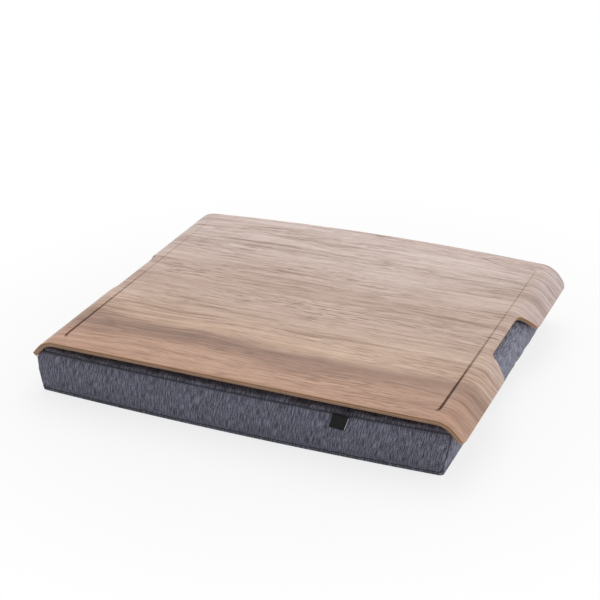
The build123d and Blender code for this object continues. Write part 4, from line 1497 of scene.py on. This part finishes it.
# %% Hook and loop strips
SELVEDGE, SELVEDGE_RISE, LEAST_RISE = 1.6 * MM, 0.25, 0.02
FIELD_STEPS = np.array([0, 0.15, 0.5, 1.2, 1.7, 2.1, 2.6]) * MM
FIELD_PITCH, WAVE_X, WAVE_Y = 1.5 * MM, 1.1 * MM, 0.9 * MM
STRIP_HALF = np.array(STRIP_SIZE) / 2
ROW_INSET = 0.8 * MM


def strip_material(name, pale, dark, pitch, depth):
    """Black nap: rows of small bumps with noise between them, in Object coordinates."""
    material, shader, place = new_material(name)
    nap = noise(place, (1700.0, 1700.0, 1700.0), 3.0)
    feed(shader, {
        "Base Color": ramp(nap, (0.35, dark), (0.68, pale)),
        "Roughness": 0.75, "Sheen Weight": 0.2,
        "Normal": bump(weave_height(place, pitch) + nap * 1.6, depth, 0.9)})
    return material


def strip_plate(centre, base, height):
    """One strip lying on a level plane: height may be negative for one that hangs under it."""
    axes = []
    for half in STRIP_HALF:
        field = half - FIELD_STEPS[-1]
        inner = np.linspace(-field, field, int(half / FIELD_PITCH))
        ends = half - FIELD_STEPS[:-1]
        axes.append(np.concatenate([-ends, inner, ends[::-1]]))
    x, y = np.meshgrid(*axes)
    inside = np.minimum(STRIP_HALF[0] - np.abs(x), STRIP_HALF[1] - np.abs(y))
    field = smooth_share(inside, SELVEDGE - 0.3 * MM, SELVEDGE + 0.4 * MM)
    edge = smooth_share(inside, -0.1 * MM, 0.3 * MM)
    uneven = 0.93 + 0.07 * np.sin(x / WAVE_X) * np.sin(y / WAVE_Y)
    rise = np.maximum(SELVEDGE_RISE * edge + (1 - SELVEDGE_RISE) * field * uneven, LEAST_RISE)
    x, y = x + centre[0], y + centre[1]
    top, bottom = (np.stack([x, y, base + height * share], -1) for share in (rise, 0 * rise))
    return shell(top, bottom)


def strips(name, node_name, body, material, facing_up):
    """All the strips of one kind in the place of their CAD node."""
    low, high = (corner[2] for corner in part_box(node_name))
    base, height = (low, high - low) if facing_up else (high, low - high)
    plates = [strip_plate(centre, base, height) for centre in STRIP_CENTRES]
    make_piece(name, together(plates), body, material, "fastener_tape", node_name)
    return base + SELVEDGE_RISE * height


LOOPS = strip_material("loop nap", (0.075, 0.075, 0.08), (0.02, 0.02, 0.022), 0.9 * MM, 0.0003)
HOOKS = strip_material("hook rows", (0.05, 0.05, 0.053), (0.012, 0.012, 0.013), 1.3 * MM, 0.0004)
level = strips("loop_side_strips", "loop_strips", "cushion", LOOPS, True)
strips("hook_side_strips", "hook_strips", "tray", HOOKS, False)

strip_rows = []
for centre in STRIP_CENTRES:
    turns = np.array([(-1, -1), (1, -1), (1, 1), (-1, 1), (-1, -1)]) * (STRIP_HALF - ROW_INSET)
    for first, second in zip(turns + centre, turns[1:] + centre):
        run = np.linspace(np.append(first, level), np.append(second, level), 3)
        strip_rows += stitch_row(run, (0, 0, 1))
make_piece("loop_strip_stitches", together(strip_rows), "cushion", BLACK_THREAD, "seam_thread")

# %% [markdown]
# ## Inner bag and beads
#
# The cover can be unzipped, so the beads have a bag of their own. Both lie hidden inside, but an
# opened zip or a cut view would show them. Each takes the filled form of the cover, drawn in from
# it: the bag by a little, the beads by a little more. At the rear both stay a little further in,
# behind the zip.

# %% Inner bag and beads
BAG_GAP, BEAD_GAP, BAG_REAR = 2.0 * MM, 2.9 * MM, 2.6 * MM


def drawn_in(gap):
    """The filled form of the cover on the solver's grid, moved inwards by the gap."""
    form = cushion_faces(coarse_across, coarse_back, UPPER_SEAM - coarse_down)
    for name, grid in form.items():
        grid += moves[name]
        clear_of_wings(grid)
    points, quads, _ = sew(form)
    centre = np.array([*points.mean(0)[:2], CUSHION_TOP / 2])
    size = (points.max(0) - points.min(0)) / 2
    points = centre + (points - centre) * (1 - gap / size)
    points[:, 2] = np.clip(points[:, 2], gap, CUSHION_TOP - gap)
    points[:, 1] = np.minimum(points[:, 1], CUSHION_REAR - BAG_REAR - gap)
    return weld(points, quads)[:2]


def cotton_material():
    """Undyed cotton: a plain weave over a warm white, with stray darker yarns."""
    material, shader, place = new_material("inner bag cotton")
    yarns = noise(place, (600.0, 60.0, 600.0), 2.0)
    feed(shader, {
        "Base Color": ramp(yarns, (0.3, (0.62, 0.60, 0.54)), (0.6, (0.78, 0.77, 0.72))),
        "Roughness": 0.9, "Normal": bump(weave_height(place, 0.7 * MM), 0.0001, 0.6)})
    return material


def bead_material():
    """Foam beads 3 mm across: Voronoi cells shade and lift them."""
    material, shader, place = new_material("foam beads")
    cells = output(place.tree, "TexVoronoi", "Distance", {"Vector": place, "Scale": 330.0})
    feed(shader, {
        "Base Color": ramp(cells, (0.25, grey(0.88)), (0.75, grey(0.5))),
        "Roughness": 0.6, "Normal": bump(1.0 - cells, 0.001, 0.8)})
    return material


for name, node_name, gap, material, slot in (
        ("inner_bag_form", "inner_bag", BAG_GAP, cotton_material(), "bag_cloth"),
        ("bead_filling_form", "bead_filling", BEAD_GAP, bead_material(), "beads")):
    form = make_piece(name, drawn_in(gap), "cushion", material, slot, node_name)
